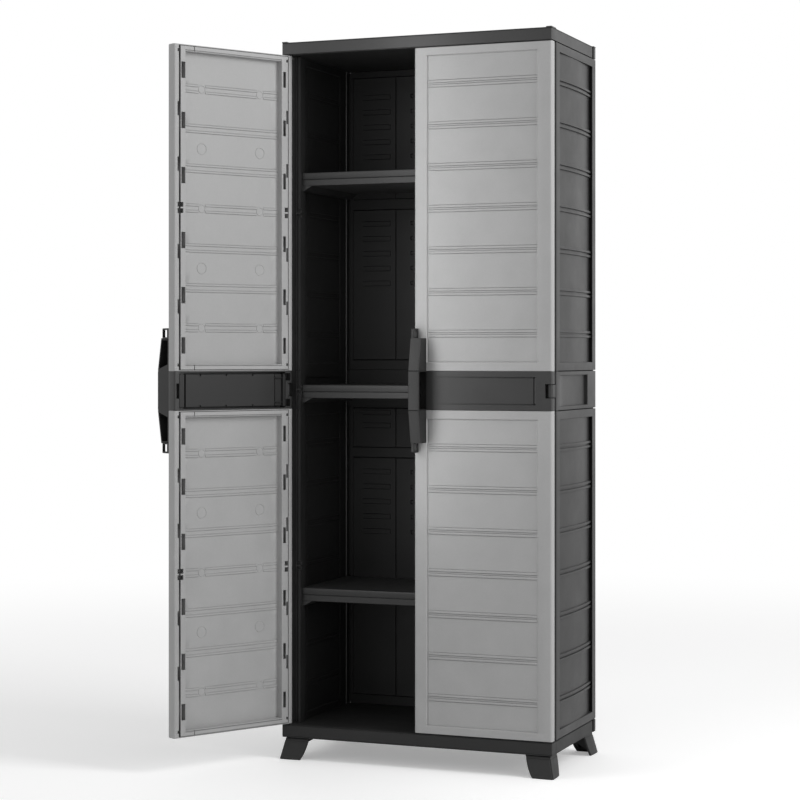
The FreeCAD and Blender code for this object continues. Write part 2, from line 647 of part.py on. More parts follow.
def make_door_outer(level, side):
    """The outer shell of a door panel: a pan with a turned-in lip, fields and rails on its front, and the
    boss that holds the end pin."""
    name = f"{side}_door_outer_{level}"
    z = DOOR_LEVELS[level]
    front_wall = "(door_recess + skin)"
    blank = door_blank(f"{name}_blank", side, z)
    inside_z = (f"{z[0]} + skin", f"{z[1]} - skin")
    hollow = block(
        f"{name}_hollow",
        from_hinge(side, "skin", f"{DOOR_WIDTH} - skin"),
        (f"{FRONT} + {front_wall}", f"{DOOR_BACK} - skin"),
        inside_z,
    )
    mouth = block(
        f"{name}_mouth",
        from_hinge(side, "lip_hinge", f"{DOOR_WIDTH} - lip_free"),
        (f"{DOOR_BACK} - skin - 1", f"{DOOR_BACK} + 1"),
        inside_z,
    )
    fields_x = from_hinge(side, "door_frame_hinge", f"{DOOR_WIDTH} - door_frame_free")
    fields = block(
        f"{name}_fields",
        fields_x,
        (f"{FRONT} - 1", f"{FRONT} + door_recess"),
        (f"{z[0]} + panel_frame", f"{z[1]} - panel_frame"),
    )
    rail_y = (f"{FRONT} + door_recess - door_rail_rise", f"{FRONT} + door_recess + skin / 2")
    bars = rails(name, fields_x, rail_y, LEVELS[level])
    end_low = z[0] if level == "lower" else f"{z[1]} - boss_height"
    boss = block(
        f"{name}_boss",
        from_hinge(side, "skin / 2", "boss_width"),
        (f"{FRONT} + {front_wall} - skin / 2", f"{DOOR_BACK} - skin"),
        (end_low, f"{end_low} + boss_height"),
    )
    seats = {
        "lower": (f"{z[0]} - 1", f"{z[0]} + pin_seat"),
        "upper": (f"{z[1]} - pin_seat", f"{z[1]} + 1"),
    }
    hole = rod(f"{name}_pin_hole", hinge_x(side), HINGE_Y, seats[level], "pin_radius + pin_hold")
    shell = less(f"{name}_shell", blank, [hollow, mouth, fields])
    whole = joined(f"{name}_solid", [shell, boss] + bars)
    door_node(f"door_outer_{level}", side, less(f"{name}_whole", whole, [hole]))


def clip_windows(name, side, z):
    """The small windows down both borders of an inner shell."""
    middle = f"(({z[0]} + {z[1]}) / 2)"
    borders = {
        "hinge": from_hinge(side, "slot_inset_hinge - slot_width / 2", "slot_inset_hinge + slot_width / 2"),
        "free": from_free(side, "slot_inset_free - slot_width / 2", "slot_inset_free + slot_width / 2"),
    }
    windows = []
    for border, x in borders.items():
        for place in ("slot_near", "slot_middle", "slot_far"):
            for sign in ("-", "+"):
                low = f"{middle} {sign} {place} - slot_length / 2"
                windows.append(block(
                    f"{name}_window_{border}_{len(windows)}",
                    x,
                    (f"{DOOR_BACK} - skin - 1", f"{DOOR_BACK} + 1"),
                    (low, f"{low} + slot_length"),
                ))
    return windows


def make_door_inner(level, side):
    """The inner shell of a door panel: a border flush with the lip and one large hollow inside it."""
    name = f"{side}_door_inner_{level}"
    z = DOOR_LEVELS[level]
    border = block(
        f"{name}_border",
        from_hinge(side, "lip_hinge + seam_gap", f"{DOOR_WIDTH} - lip_free - seam_gap"),
        (f"{DOOR_BACK} - skin", DOOR_BACK),
        (f"{z[0]} + skin + seam_gap", f"{z[1]} - skin - seam_gap"),
    )
    tray = block(
        f"{name}_tray",
        from_hinge(side, "inner_border_hinge - skin", f"{DOOR_WIDTH} - inner_border_free + skin"),
        (f"{DOOR_BACK} - inner_recess - skin", f"{DOOR_BACK} - skin / 2"),
        (f"{z[0]} + inner_border_end - skin", f"{z[1]} - inner_border_end + skin"),
    )
    hollow = block(
        f"{name}_hollow",
        from_hinge(side, "inner_border_hinge", f"{DOOR_WIDTH} - inner_border_free"),
        (f"{DOOR_BACK} - inner_recess", f"{DOOR_BACK} + 1"),
        (f"{z[0]} + inner_border_end", f"{z[1]} - inner_border_end"),
    )
    tools = [hollow] + clip_windows(name, side, z)
    shell = less(f"{name}_shell", joined(f"{name}_solid", [border, tray]), tools)
    rail_x = from_hinge(side, "inner_border_hinge - skin / 2", f"{DOOR_WIDTH} - inner_border_free + skin / 2")
    floor = f"{DOOR_BACK} - inner_recess"
    rail_y = (f"{floor} - skin / 2", f"{floor} + inner_rail_rise")
    bars = rails(name, rail_x, rail_y, LEVELS[level], "inner_rail")
    door_node(f"door_inner_{level}", side, joined(f"{name}_whole", [shell] + bars))


def make_door_belt(side):
    """The belt across a door: a pan with a field on its front and a notch for the knuckle."""
    name = f"{side}_door_belt"
    z = (BELT_LOW, BELT_HIGH)
    blank = door_blank(f"{name}_blank", side, z)
    pocket_x = ("belt_pocket_start", f"{DOOR_WIDTH} - lip_free")
    pocket = block(
        f"{name}_pocket",
        from_hinge(side, *pocket_x),
        (f"{FRONT} + door_recess + skin", f"{DOOR_BACK} + 1"),
        (f"{BELT_LOW} + belt_wall", f"{BELT_HIGH} - belt_wall"),
    )
    field = block(
        f"{name}_field",
        from_hinge(side, "belt_frame_hinge", f"{DOOR_WIDTH} - belt_frame_free"),
        (f"{FRONT} - 1", f"{FRONT} + door_recess"),
        (f"{BELT_LOW} + belt_border", f"{BELT_HIGH} - belt_border"),
    )
    half_notch = "(knuckle_height / 2 + knuckle_air)"
    notch = block(
        f"{name}_notch",
        from_hinge(side, "-1", "hinge_inset + knuckle_radius + knuckle_air"),
        (f"{FRONT} - 1", f"{DOOR_BACK} + 1"),
        (f"{BELT_MIDDLE} - {half_notch}", f"{BELT_MIDDLE} + {half_notch}"),
    )
    half_pin = f"({half_notch} + middle_pin_seat)"
    pin_z = (f"{BELT_MIDDLE} - {half_pin}", f"{BELT_MIDDLE} + {half_pin}")
    hole = rod(f"{name}_pin_hole", hinge_x(side), HINGE_Y, pin_z, "middle_pin_radius + pin_hold")
    door_node("door_belt", side, less(f"{name}_whole", blank, [pocket, field, notch, hole]))
    cover_span = (f"{pocket_x[0]} + seam_gap", f"{pocket_x[1]} - seam_gap")
    cover_y = f"({DOOR_BACK} - skin)"
    cover_z = (f"{BELT_LOW} + belt_wall + seam_gap", f"{BELT_HIGH} - belt_wall - seam_gap")
    cover_x = from_hinge(side, *cover_span)
    cover = block(f"{name}_cover", cover_x, (cover_y, DOOR_BACK), cover_z)
    door_node("door_belt_cover", side, cover, (f"({cover_x[0]})", cover_y))
    pin = rod(f"{name}_pin", hinge_x(side), HINGE_Y, pin_z, "middle_pin_radius")
    door_node("hinge_pin_middle", side, pin, (f"({hinge_x(side)})", HINGE_Y))


def make_end_pins(side):
    """The pins at the lower and the upper end of a door, which turn in the base and the cap."""
    low, high = DOOR_LEVELS["lower"][0], DOOR_LEVELS["upper"][1]
    stretches = {
        "lower": (f"{FLOOR} - pin_reach", f"{low} + pin_seat"),
        "upper": (f"{high} - pin_seat", f"{CEILING} + pin_reach"),
    }
    for level, z in stretches.items():
        pin = rod(f"{side}_end_pin_{level}", hinge_x(side), HINGE_Y, z, "pin_radius")
        door_node(f"hinge_pin_{level}", side, pin, (f"({hinge_x(side)})", HINGE_Y))


def make_handle(side):
    """A handle: a straight grip with a finger pocket open to the hinge side, two sloping ends that are
    hollow towards the free edge, and a padlock eye above and below."""
    name = f"{side}_handle"

    def width(near, far):
        return from_free(side, f"handle_inset + {near}", f"handle_inset + {far}")

    def reach(distance):
        return f"{FRONT} - ({distance})"

    def level(distance):
        return f"{BELT_MIDDLE} + {distance}"

    full = width("0", "handle_width")
    profile = [
        (FRONT, level("(-handle_body / 2)")),
        (reach("handle_end_reach"), level("(-handle_body / 2)")),
        (reach("handle_reach"), level("(-handle_grip / 2)")),
        (reach("handle_reach"), level("handle_grip / 2")),
        (reach("handle_end_reach"), level("handle_body / 2")),
        (FRONT, level("handle_body / 2")),
    ]
    body = prism(f"{name}_body", "YZ_Plane", profile, *full)
    pocket = block(
        f"{name}_pocket",
        width("handle_wall", "handle_width + 1"),
        (reach("handle_reach - handle_wall"), reach("handle_foot")),
        (level("(-handle_grip / 2)"), level("handle_grip / 2")),
    )
    tools = [pocket]
    eyes = []
    for end, sign in (("low", -1), ("high", 1)):
        start = f"({sign} * (handle_grip / 2 + handle_wall))"
        stop = f"({sign} * (handle_body / 2 - handle_wall))"
        end_profile = [
            (reach("handle_foot"), level(f"({start} + {sign} * handle_slant)")),
            (reach("handle_reach - handle_wall - 1"), level(start)),
            (reach("handle_end_reach - handle_wall"), level(stop)),
            (reach("handle_foot"), level(stop)),
        ]
        hollow_x = width("-1", "handle_width - handle_wall")
        tools.append(prism(f"{name}_hollow_{end}", "YZ_Plane", end_profile, *hollow_x))
        eyes.append(make_eye(name, width("0", "eye_thickness"), reach, end, sign))
    shaped = less(f"{name}_shaped", body, tools)
    door_node("handle", side, joined(f"{name}_whole", [shaped] + eyes))


def make_eye(name, x, reach, end, sign):
    """A padlock eye: a flat loop with a rectangular hole."""
    inner = "(handle_body / 2 - eye_wall)"
    outer = "handle_length / 2"

    def span(low, high):
        low_place = f"{BELT_MIDDLE} + ({sign} * ({low}))"
        high_place = f"{BELT_MIDDLE} + ({sign} * ({high}))"
        return (low_place, high_place) if sign == 1 else (high_place, low_place)

    loop = block(f"{name}_eye_{end}", x, (reach("eye_reach"), reach("0")), span(inner, outer))
    hole = block(
        f"{name}_eye_hole_{end}",
        (f"{x[0]} - 1", f"{x[1]} + 1"),
        (reach("eye_reach - eye_bar"), reach("handle_foot + eye_bar")),
        span("handle_body / 2 + eye_wall / 2", f"{outer} - eye_wall"),
    )
    return less(f"{name}_eye_loop_{end}", loop, [hole])


make_base()
make_cap()
for end in ("front", "rear"):
    for side in SIDES:
        make_foot(end, side)
for side in SIDES:
    for level in LEVELS:
        make_side_panel(level, side)
    make_side_connector(side)
for level in LEVELS:
    make_back_panel(level)
make_back_connector()
make_shelf("lower", "shelf_low_top")
make_shelf("middle", "shelf_middle_top")
make_shelf("upper", "shelf_high_top")
for side in SIDES:
    for level in DOOR_LEVELS:
        make_door_outer(level, side)
        make_door_inner(level, side)
    make_door_belt(side)
    make_end_pins(side)
    make_handle(side)
doc.recompute()

failed = [item.Name for item in doc.Objects if {"Invalid", "Error"} & set(item.State)]
if failed:
    raise RuntimeError(f"objects that failed to compute: {failed}")
for name, thing in nodes.items():
    shape = thing.Shape
    if shape.isNull() or not shape.isValid() or len(shape.Solids) != 1:
        raise RuntimeError(f"{name} is not one valid solid")

os.makedirs("parts", exist_ok=True)
for name, thing in nodes.items():
    thing.Shape.exportStep(f"parts/{name}.step")
print(len(nodes), "sub-parts written")
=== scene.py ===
"""The visible surfaces of a tall storage cabinet of moulded resin, with its light and camera.

Shapes are worked out in millimetres and put into their meshes in metres, in the frame of the solids: the
cabinet stands on Z = 0 with its middle over the origin and its front towards -Y. A door's own surfaces use
three distances: u from the hinge edge, w from the door's inner face towards its front, and z above the floor.
"""
import math

import bpy
import numpy as np
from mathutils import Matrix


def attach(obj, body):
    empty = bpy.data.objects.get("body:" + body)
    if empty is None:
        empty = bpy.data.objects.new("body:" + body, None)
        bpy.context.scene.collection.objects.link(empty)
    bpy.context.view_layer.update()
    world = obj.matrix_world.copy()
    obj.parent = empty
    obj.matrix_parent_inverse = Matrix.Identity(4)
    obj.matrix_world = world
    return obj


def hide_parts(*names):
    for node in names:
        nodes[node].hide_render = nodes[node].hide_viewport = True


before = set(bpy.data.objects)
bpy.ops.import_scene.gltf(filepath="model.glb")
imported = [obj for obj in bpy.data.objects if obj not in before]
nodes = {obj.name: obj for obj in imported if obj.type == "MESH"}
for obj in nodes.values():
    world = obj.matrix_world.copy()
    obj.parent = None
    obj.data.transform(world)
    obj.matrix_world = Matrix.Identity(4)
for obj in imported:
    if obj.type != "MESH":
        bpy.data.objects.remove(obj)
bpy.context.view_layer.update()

# Places on the cabinet, in millimetres.
HALF_WIDTH = 341.0
FRONT = -179.0
REAR = 179.0
BASE_LOW = 53.0
FLOOR = 84.0
BELT_LOW = 846.0
BELT_HIGH = 938.0
CEILING = 1700.0
CAP_TOP = 1730.0
BELT_MIDDLE = (BELT_LOW + BELT_HIGH) / 2
CARCASS_FRONT = -147.0
INNER_WALL = 313.0
POST = 307.0
BACK_FRONT = 165.0
BACK_REAR = 177.0
DOOR_WIDTH = 338.5
DOOR_DEPTH = 28.0
DOOR_BACK = -151.0
HINGE = (333.0, -166.0)
LEFT_DOOR_TURN = math.radians(-120)
LEVELS = {"lower": (FLOOR, BELT_LOW), "upper": (BELT_HIGH, CEILING)}
DOOR_LEVELS = {"lower": (FLOOR + 1.5, BELT_LOW), "upper": (BELT_HIGH, CEILING - 1.5)}
RAIL_PITCH = 97.85
INNER_RAIL_PITCH = 93.3
RECESS_HALF = 361.0
SIDES = ("left", "right")


# Grids and profiles.

def lines(low, high, marks=(), gap=30.0):
    """Places from low to high: one at each mark between them, and none further apart than the gap."""
    marks = np.unique(np.round([low, high, *[mark for mark in marks if low < mark < high]], 3))
    counts = np.ceil(np.diff(marks) / gap).astype(int)
    runs = [np.linspace(a, b, count, endpoint=False) for a, b, count in zip(marks, marks[1:], counts)]
    return np.concatenate(runs + [[high]])


def grid(a, b):
    return np.meshgrid(a, b, indexing="ij")


def joined(*parts):
    """Points from their coordinates, each of them a number or a grid."""
    return np.stack(np.broadcast_arrays(*parts), -1)


def spread(places, offsets):
    """Every place with every offset added to it."""
    return np.add.outer(np.atleast_1d(places), np.atleast_1d(offsets)).ravel()


def rise(value, start, end):
    """From 0 at start to 1 at end along an S-curve: t squared times 3 less 2 t."""
    t = np.clip((value - start) / (end - start), 0, 1)
    return t * t * (3 - 2 * t)


def rise_marks(start, end):
    return start + (end - start) * np.array([0, 0.25, 0.5, 0.75, 1])


# The width of a step that looks sharp.
STEEP = 0.15


def step(value, start):
    """A sharp step up from 0 to 1 at start."""
    return rise(value, start, start + STEEP)


def step_marks(start):
    return np.array([start, start + STEEP])


def between(value, low, high, slope=STEEP):
    """One from low to high and 0 outside, with a short slope inside each end."""
    return rise(value, low, low + slope) * (1 - rise(value, high - slope, high))


def between_marks(low, high, slope=STEEP):
    return np.array([low, low + slope, high - slope, high])


def both_ends(low, high, offsets):
    """The same distances inwards from both ends of a stretch."""
    return np.concatenate([low + np.asarray(offsets), high - np.asarray(offsets)])


def from_ends(value, low, high):
    """The distance inwards from the nearer end of a stretch."""
    return np.minimum(value - low, high - value)


def groove(distance, half_width):
    """The section of a V groove, one at its middle and 0 from its half width outwards."""
    return np.clip(1 - np.abs(distance) / half_width, 0, 1)


def rounded(distance, radius):
    """How far a rounded edge falls away at a distance from it: the radius less the height of its arc."""
    reach = np.clip(radius - distance, 0, radius)
    return radius - np.sqrt(radius ** 2 - reach ** 2)


def round_marks(radius):
    """Distances from a rounded edge at even steps of the arc's angle."""
    return radius * (1 - np.sin(np.radians([90, 72, 54, 36, 18, 0])))


# How deep a panel's edge lies by its distance from the seam.
SEAM_MARKS = (1.1, 1.2)
SEAM_DEPTH = 5.0


def seam(distance):
    return np.interp(distance, SEAM_MARKS, [SEAM_DEPTH, 0])


def rail_number(z, middle, pitch):
    """Which of the seven rails is nearest, counted from the middle one."""
    return np.clip(np.round((z - middle) / pitch), -3, 3)


def rail_distance(z, middle, pitch=RAIL_PITCH):
    """The distance to the nearest of the seven rails, which are evenly spaced about the middle."""
    return np.abs(z - middle - rail_number(z, middle, pitch) * pitch)


def rail_marks(middle, offsets, pitch=RAIL_PITCH):
    offsets = np.array(offsets)
    return spread(middle + pitch * np.arange(-3, 4), np.concatenate([-offsets, offsets]))


# Closed skins. Each one is a pair: its points and its four-sided faces.

def cell_middles(*grids):
    return [(values[1:, 1:] + values[:-1, :-1]) / 2 for values in grids]


def inside(value, span):
    return (value > span[0]) & (value < span[1])


def shell(front, back, keep=None):
    """The closed skin between two grids of points.

    Each kept cell of the grid gives a face on the front and one on the back, and each edge between a kept
    cell and a missing one gives a wall from the front to the back.
    """
    n, m = front.shape[:2]
    keep = np.ones((n - 1, m - 1), bool) if keep is None else keep
    spot = np.arange(n * m).reshape(n, m)
    far = spot + n * m
    solid = np.pad(keep, 1)
    corners = np.stack([spot[:-1, :-1], spot[1:, :-1], spot[1:, 1:], spot[:-1, 1:]], -1)[keep]
    faces = [corners, corners[:, ::-1] + n * m]
    for axis in (0, 1):
        kept = solid if axis == 0 else solid.T
        near, away = (spot, far) if axis == 0 else (spot.T, far.T)
        starts = kept[1:, 1:-1] & ~kept[:-1, 1:-1]
        ends = kept[:-1, 1:-1] & ~kept[1:, 1:-1]
        wall = np.stack([near[:, :-1], near[:, 1:], away[:, 1:], away[:, :-1]], -1)
        opening, closing = (starts, ends) if axis == 0 else (ends, starts)
        faces += [wall[opening], wall[closing][:, ::-1]]
    return outward(np.concatenate([front.reshape(-1, 3), back.reshape(-1, 3)]), np.concatenate(faces))


def ring(points):
    """The closed skin of a loop of points carried round a closed path: a grid that closes both ways."""
    n, m = points.shape[:2]
    spot = np.arange(n * m).reshape(n, m)
    along, up = np.roll(spot, -1, 0), np.roll(spot, -1, 1)
    faces = np.stack([spot, along, np.roll(along, -1, 1), up], -1).reshape(-1, 4)
    return outward(points.reshape(-1, 3), faces)


def bar(points):
    """The closed skin of a loop of points carried along a path, each end closed by a fan to its middle."""
    n, m = points.shape[:2]
    spot = np.arange(n * m).reshape(n, m)
    around = np.roll(spot, -1, 1)
    sides = np.stack([spot[:-1], spot[1:], around[1:], around[:-1]], -1).reshape(-1, 4)
    first, last = n * m, n * m + 1
    ends = [np.stack([np.full(m, first), spot[0], around[0], around[0]], -1),
            np.stack([np.full(m, last), around[-1], spot[-1], spot[-1]], -1)]
    middles = np.stack([points[0].mean(0), points[-1].mean(0)])
    return outward(np.concatenate([points.reshape(-1, 3), middles]), np.concatenate([sides] + ends))


def outward(points, faces):
    """The skin without unused points, and turned so that it encloses a positive volume."""
    used, faces = np.unique(faces, return_inverse=True)
    points, faces = points[used], faces.reshape(-1, 4)
    a, b, c, d = (points[faces[:, corner]] for corner in range(4))
    volume = np.einsum("ij,ij->", a, np.cross(b, c) + np.cross(c, d))
    return points, faces if volume > 0 else faces[:, ::-1]


def piece(name, skins, material, body, replaced, sharp=30):
    """A finished piece of one or more skins, smooth but for its creases.

    A face whose corner is named twice in a row is a triangle, so a corner counts once.
    """
    starts = np.cumsum([0] + [len(points) for points, faces in skins[:-1]])
    points = np.concatenate([points for points, faces in skins])
    quads = np.concatenate([faces + start for (_, faces), start in zip(skins, starts)])
    kept = quads != np.roll(quads, 1, 1)
    sizes = kept.sum(1)
    mesh = bpy.data.meshes.new(name)
    mesh.vertices.add(len(points))
    mesh.vertices.foreach_set("co", (points * 0.001).astype(np.float32).ravel())
    mesh.loops.add(int(sizes.sum()))
    mesh.loops.foreach_set("vertex_index", quads[kept].astype(np.int32))
    mesh.polygons.add(len(quads))
    mesh.polygons.foreach_set("loop_start", np.concatenate([[0], np.cumsum(sizes)[:-1]]).astype(np.int32))
    mesh.polygons.foreach_set("use_smooth", np.ones(len(quads), bool))
    mesh.update(calc_edges=True)
    mesh.validate()
    mesh.set_sharp_from_angle(angle=math.radians(sharp))
    mesh.materials.append(material)
    made = bpy.data.objects.new(name, mesh)
    bpy.context.scene.collection.objects.link(made)
    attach(made, body)
    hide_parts(*replaced)
    return made


# Materials.

def linear(code):
    """The linear colour of an sRGB hex code."""
    parts = np.array([int(code[i:i + 2], 16) for i in (1, 3, 5)]) / 255
    parts = np.where(parts <= 0.04045, parts / 12.92, ((parts + 0.055) / 1.055) ** 2.4)
    return (*parts.tolist(), 1.0)


def add(tree, kind, settings=None, links=None):
    """Adds a node, with its settings by the name of an input or a property, and its links by input."""
    made = tree.nodes.new(kind)
    for name, value in (settings or {}).items():
        if isinstance(name, int) or name in made.inputs:
            made.inputs[name].default_value = value
        else:
            setattr(made, name, value)
    for name, socket in (links or {}).items():
        tree.links.new(socket, made.inputs[name])
    return made


# Clouds in the colour from the flow of the resin, and specks, by their size in millimetres.
CLOUD_SIZE = 90
SPECK_SIZE = 4
POLYPROPYLENE_IOR = 1.49


def moulded_resin(name, shade, tint, grain, relief, roughness, shine=0.5):
    """Polypropylene from a mould with a fine eroded texture: satin, with slow clouds in colour and gloss.

    The grain is in millimetres, the relief is the strength of its bump, and the shine is the strength of its
    reflections.
    """
    material = bpy.data.materials.new(name)
    material.use_nodes = True
    tree = material.node_tree
    shader = tree.nodes["Principled BSDF"]
    place = add(tree, "ShaderNodeTexCoord").outputs["Object"]
    cloud = add(tree, "ShaderNodeTexNoise", {"Scale": 1000 / CLOUD_SIZE, "Detail": 4.0, "Roughness": 0.6},
                {"Vector": place})
    speck = add(tree, "ShaderNodeTexNoise", {"Scale": 1000 / SPECK_SIZE, "Detail": 2.0}, {"Vector": place})
    both = add(tree, "ShaderNodeMath", {"operation": "MULTIPLY_ADD", 1: 0.35},
               {0: speck.outputs["Fac"], 2: cloud.outputs["Fac"]})
    colour = add(tree, "ShaderNodeValToRGB", links={"Fac": both.outputs["Value"]})
    colour.color_ramp.elements[0].position = 0.45
    colour.color_ramp.elements[0].color = linear(shade)
    colour.color_ramp.elements[1].position = 0.95
    colour.color_ramp.elements[1].color = linear(tint)
    tree.links.new(colour.outputs["Color"], shader.inputs["Base Color"])
    gloss = add(tree, "ShaderNodeMapRange", {"From Min": 0.3, "From Max": 0.7, "To Min": roughness - 0.05,
                                             "To Max": roughness + 0.06}, {"Value": cloud.outputs["Fac"]})
    tree.links.new(gloss.outputs["Result"], shader.inputs["Roughness"])
    texture = add(tree, "ShaderNodeTexNoise", {"Scale": 1000 / grain, "Detail": 3.0, "Roughness": 0.65},
                  {"Vector": place})
    bump = add(tree, "ShaderNodeBump", {"Strength": relief, "Distance": 0.0004},
               {"Height": texture.outputs["Fac"]})
    tree.links.new(bump.outputs["Normal"], shader.inputs["Normal"])
    shader.inputs["IOR"].default_value = POLYPROPYLENE_IOR
    shader.inputs["Specular IOR Level"].default_value = shine
    return material


# Light grey door resin: even, satin, with a faint grain of about 1.6 mm.
door_resin = moulded_resin("light_grey_door_resin", "#A0A0A0", "#A8A8A8", 1.6, 0.2, 0.46)
# Anthracite panel resin: the sides.
panel_resin = moulded_resin("anthracite_panel_resin", "#202020", "#252525", 1.6, 0.3, 0.42)
# Back panel resin: nearly black, with a duller face.
back_resin = moulded_resin("black_back_resin", "#181818", "#1D1D1D", 1.6, 0.3, 0.48, 0.34)
# Anthracite frame resin: cap and door belts.
frame_resin = moulded_resin("anthracite_frame_resin", "#252525", "#2B2B2B", 1.4, 0.25, 0.42)
# Anthracite plate resin: the belts' covers, duller on the hidden side of the doors.
plate_resin = moulded_resin("anthracite_plate_resin", "#1F1F1F", "#242424", 1.4, 0.25, 0.46, 0.32)
# Anthracite base resin: base and feet, rougher and duller, with a colour darker than the frame's as painted
# shade near the ground.
shaded_base_resin = moulded_resin("anthracite_base_resin_with_painted_shade", "#1D1D1D", "#232323", 1.8, 0.3, 0.52, 0.36)
# Anthracite shelf resin, with a coarser grain that keeps things from sliding.
shelf_resin = moulded_resin("anthracite_shelf_resin", "#212121", "#272727", 2.2, 0.4, 0.46)
# Black handle resin: darker and duller.
handle_resin = moulded_resin("black_handle_resin", "#1C1C1C", "#212121", 1.2, 0.25, 0.48, 0.34)
# Hinge pin resin: smooth, turned out of a polished mould.
pin_resin = moulded_resin("black_hinge_pin_resin", "#1A1A1A", "#1F1F1F", 3.0, 0.08, 0.32)


# Doors.

def on_door(side, u, w, z):
    """Points of a door in place: the right door shut, the left door turned open about its hinge."""
    x, y = HALF_WIDTH - u, DOOR_BACK - w
    if side == "left":
        dx, dy = -x + HINGE[0], y - HINGE[1]
        x = -HINGE[0] + dx * math.cos(LEFT_DOOR_TURN) - dy * math.sin(LEFT_DOOR_TURN)
        y = HINGE[1] + dx * math.sin(LEFT_DOOR_TURN) + dy * math.cos(LEFT_DOOR_TURN)
    return joined(x, y, z)


# The radii of a door's edges: round its front, and at its back by the hinge and by the free edge.
FRONT_RADIUS = 5.0
HINGE_RADIUS = 8.0
FREE_RADIUS = 4.0
# The slopes round the recess of a door's front, from the hinge edge, the free edge and the recess's own ends.
RECESS_HINGE = (32.5, 36.5)
RECESS_FREE = (29.6, 32.2)
RECESS_END = (-0.6, 1.4)
RECESS_DEPTH = 2.5
# Where its rails fade out, from the hinge edge and the free edge.
RAIL_HINGE = (33, 40)
RAIL_FREE = (34.6, 37.0)
# The fine grooves beside it, as distance and half width: from the free edge, and from the recess's own ends.
FREE_LINE = (32.9, 1.7)
END_LINE = (1.7, 1.1)
# A door front's rail, by the distance from its middle: two flat ridges, each between two fine grooves.
DOOR_RAIL = ((0, 1.4, 2.1, 2.7, 3.3, 7.1, 7.7, 8.35, 9.1), (0, 0, -1.3, 0.9, 1.5, 1.5, 0.9, -1.3, 0))
# A rail on the inner face, in the same way.
INNER_RAIL = ((0, 3.8, 4.5, 5.1, 5.7, 9.0, 9.6, 10.2, 10.9), (0, 0, -0.7, 0.8, 1.3, 1.3, 0.8, -0.7, 0))
# Where the lips of the outer pan end, from the hinge edge, the free edge and a panel's end.
LIP_HINGE = 13.6
LIP_FREE = 12.8
LIP_END = 2.0
LIP_ROUND = 0.9
PAN_WALL = 4.5
PAN_END_RADIUS = 1.8
# The latch openings across the seam between the shells: where they end, from the free and the hinge edge.
LATCH_FREE = (9.2, 17.3)
LATCH_HINGE = 21.3
LATCH_DEPTH = 16.0
# The double opening half way up reaches further in.
DOUBLE_FREE = 24.7
DOUBLE_HINGE = 25.9
# Half of an opening's length, and its places from a panel's middle.
DOUBLE_LATCH = (5.6, (-7.3, 7.3))
LATCHES = ((16.5, (-230.0, -101.5, 101.5, 230.0)), DOUBLE_LATCH, (3.4, (-366.0, 366.0)))


def latch_marks(panel_middle):
    """Heights of the latch openings' edges."""
    return np.concatenate([spread(np.add(places, panel_middle), between_marks(-half, half))
                           for half, places in LATCHES])


def latches(z, panel_middle):
    """One at the height of a latch opening, otherwise 0."""
    beside = [between(z, panel_middle + place - half, panel_middle + place + half)
              for half, places in LATCHES for place in places]
    return np.max(beside, 0)


def door_outer(side, level):
    """The outer pan: flat border, one recess with seven double rails, and turned-in lips with latch openings.

    The front is the door's depth, less the rounded edges and the recess, plus the rails' profile by distance.
    A fine groove runs down the recess at its free side, and a finer one along both its ends.
    """
    low, high = DOOR_LEVELS[level]
    middle = sum(LEVELS[level]) / 2
    panel_middle = (low + high) / 2
    free_marks = [*round_marks(FRONT_RADIUS), *round_marks(FREE_RADIUS), *rise_marks(*RECESS_FREE),
                  32.8, 34.6, 35.0, 37.5, *step_marks(LIP_FREE), *step_marks(LATCH_FREE[0]),
                  *(LIP_FREE - np.array([STEEP, 0.5, LIP_ROUND]))]
    marks_u = [*round_marks(FRONT_RADIUS), *round_marks(HINGE_RADIUS), *np.subtract(DOOR_WIDTH, free_marks),
               *rise_marks(*RECESS_HINGE), RAIL_HINGE[1], *step_marks(LIP_HINGE), LIP_HINGE - 0.5,
               LIP_HINGE - LIP_ROUND]
    ends = [*round_marks(PAN_END_RADIUS), *step_marks(LIP_END)]
    edge = [*rise_marks(*RECESS_END), 1.8, END_LINE[0] + END_LINE[1]]
    marks_z = [*both_ends(low, high, ends), *rail_marks(middle, DOOR_RAIL[0]),
               *both_ends(middle - RECESS_HALF, middle + RECESS_HALF, edge), *latch_marks(panel_middle)]
    u, z = grid(lines(0, DOOR_WIDTH, marks_u), lines(low, high, marks_z))
    end = from_ends(z, low, high)
    free = DOOR_WIDTH - u
    inward = RECESS_HALF - np.abs(z - middle)
    edges = rounded(np.minimum(u, free), FRONT_RADIUS) + rounded(end, PAN_END_RADIUS)
    recess = rise(u, *RECESS_HINGE) * rise(free, *RECESS_FREE) * rise(inward, *RECESS_END)
    line = 1.7 * groove(free - FREE_LINE[0], FREE_LINE[1]) * recess
    line = line + 0.9 * groove(inward - END_LINE[0], END_LINE[1]) * recess
    rail = np.interp(rail_distance(z, middle), *DOOR_RAIL) * rise(u, *RAIL_HINGE) * rise(free, *RAIL_FREE)
    front = DOOR_DEPTH - edges - RECESS_DEPTH * recess - line + rail * recess
    hollow = step(u, LIP_HINGE) * step(free, LIP_FREE) * step(end, LIP_END)
    lip_edge = rise(u, LIP_HINGE - LIP_ROUND, LIP_HINGE) + rise(free, LIP_FREE - LIP_ROUND, LIP_FREE)
    back = rounded(u, HINGE_RADIUS) + rounded(free, FREE_RADIUS) + rounded(end, 1.2)
    back = back + np.minimum(0.8 * lip_edge, 0.8)
    back = back + LATCH_DEPTH * latches(z, panel_middle) * step(free, LATCH_FREE[0]) * (free < 20)
    back = back * (1 - hollow) + (DOOR_DEPTH - PAN_WALL) * hollow
    return shell(on_door(side, u, front, z), on_door(side, u, back, z))


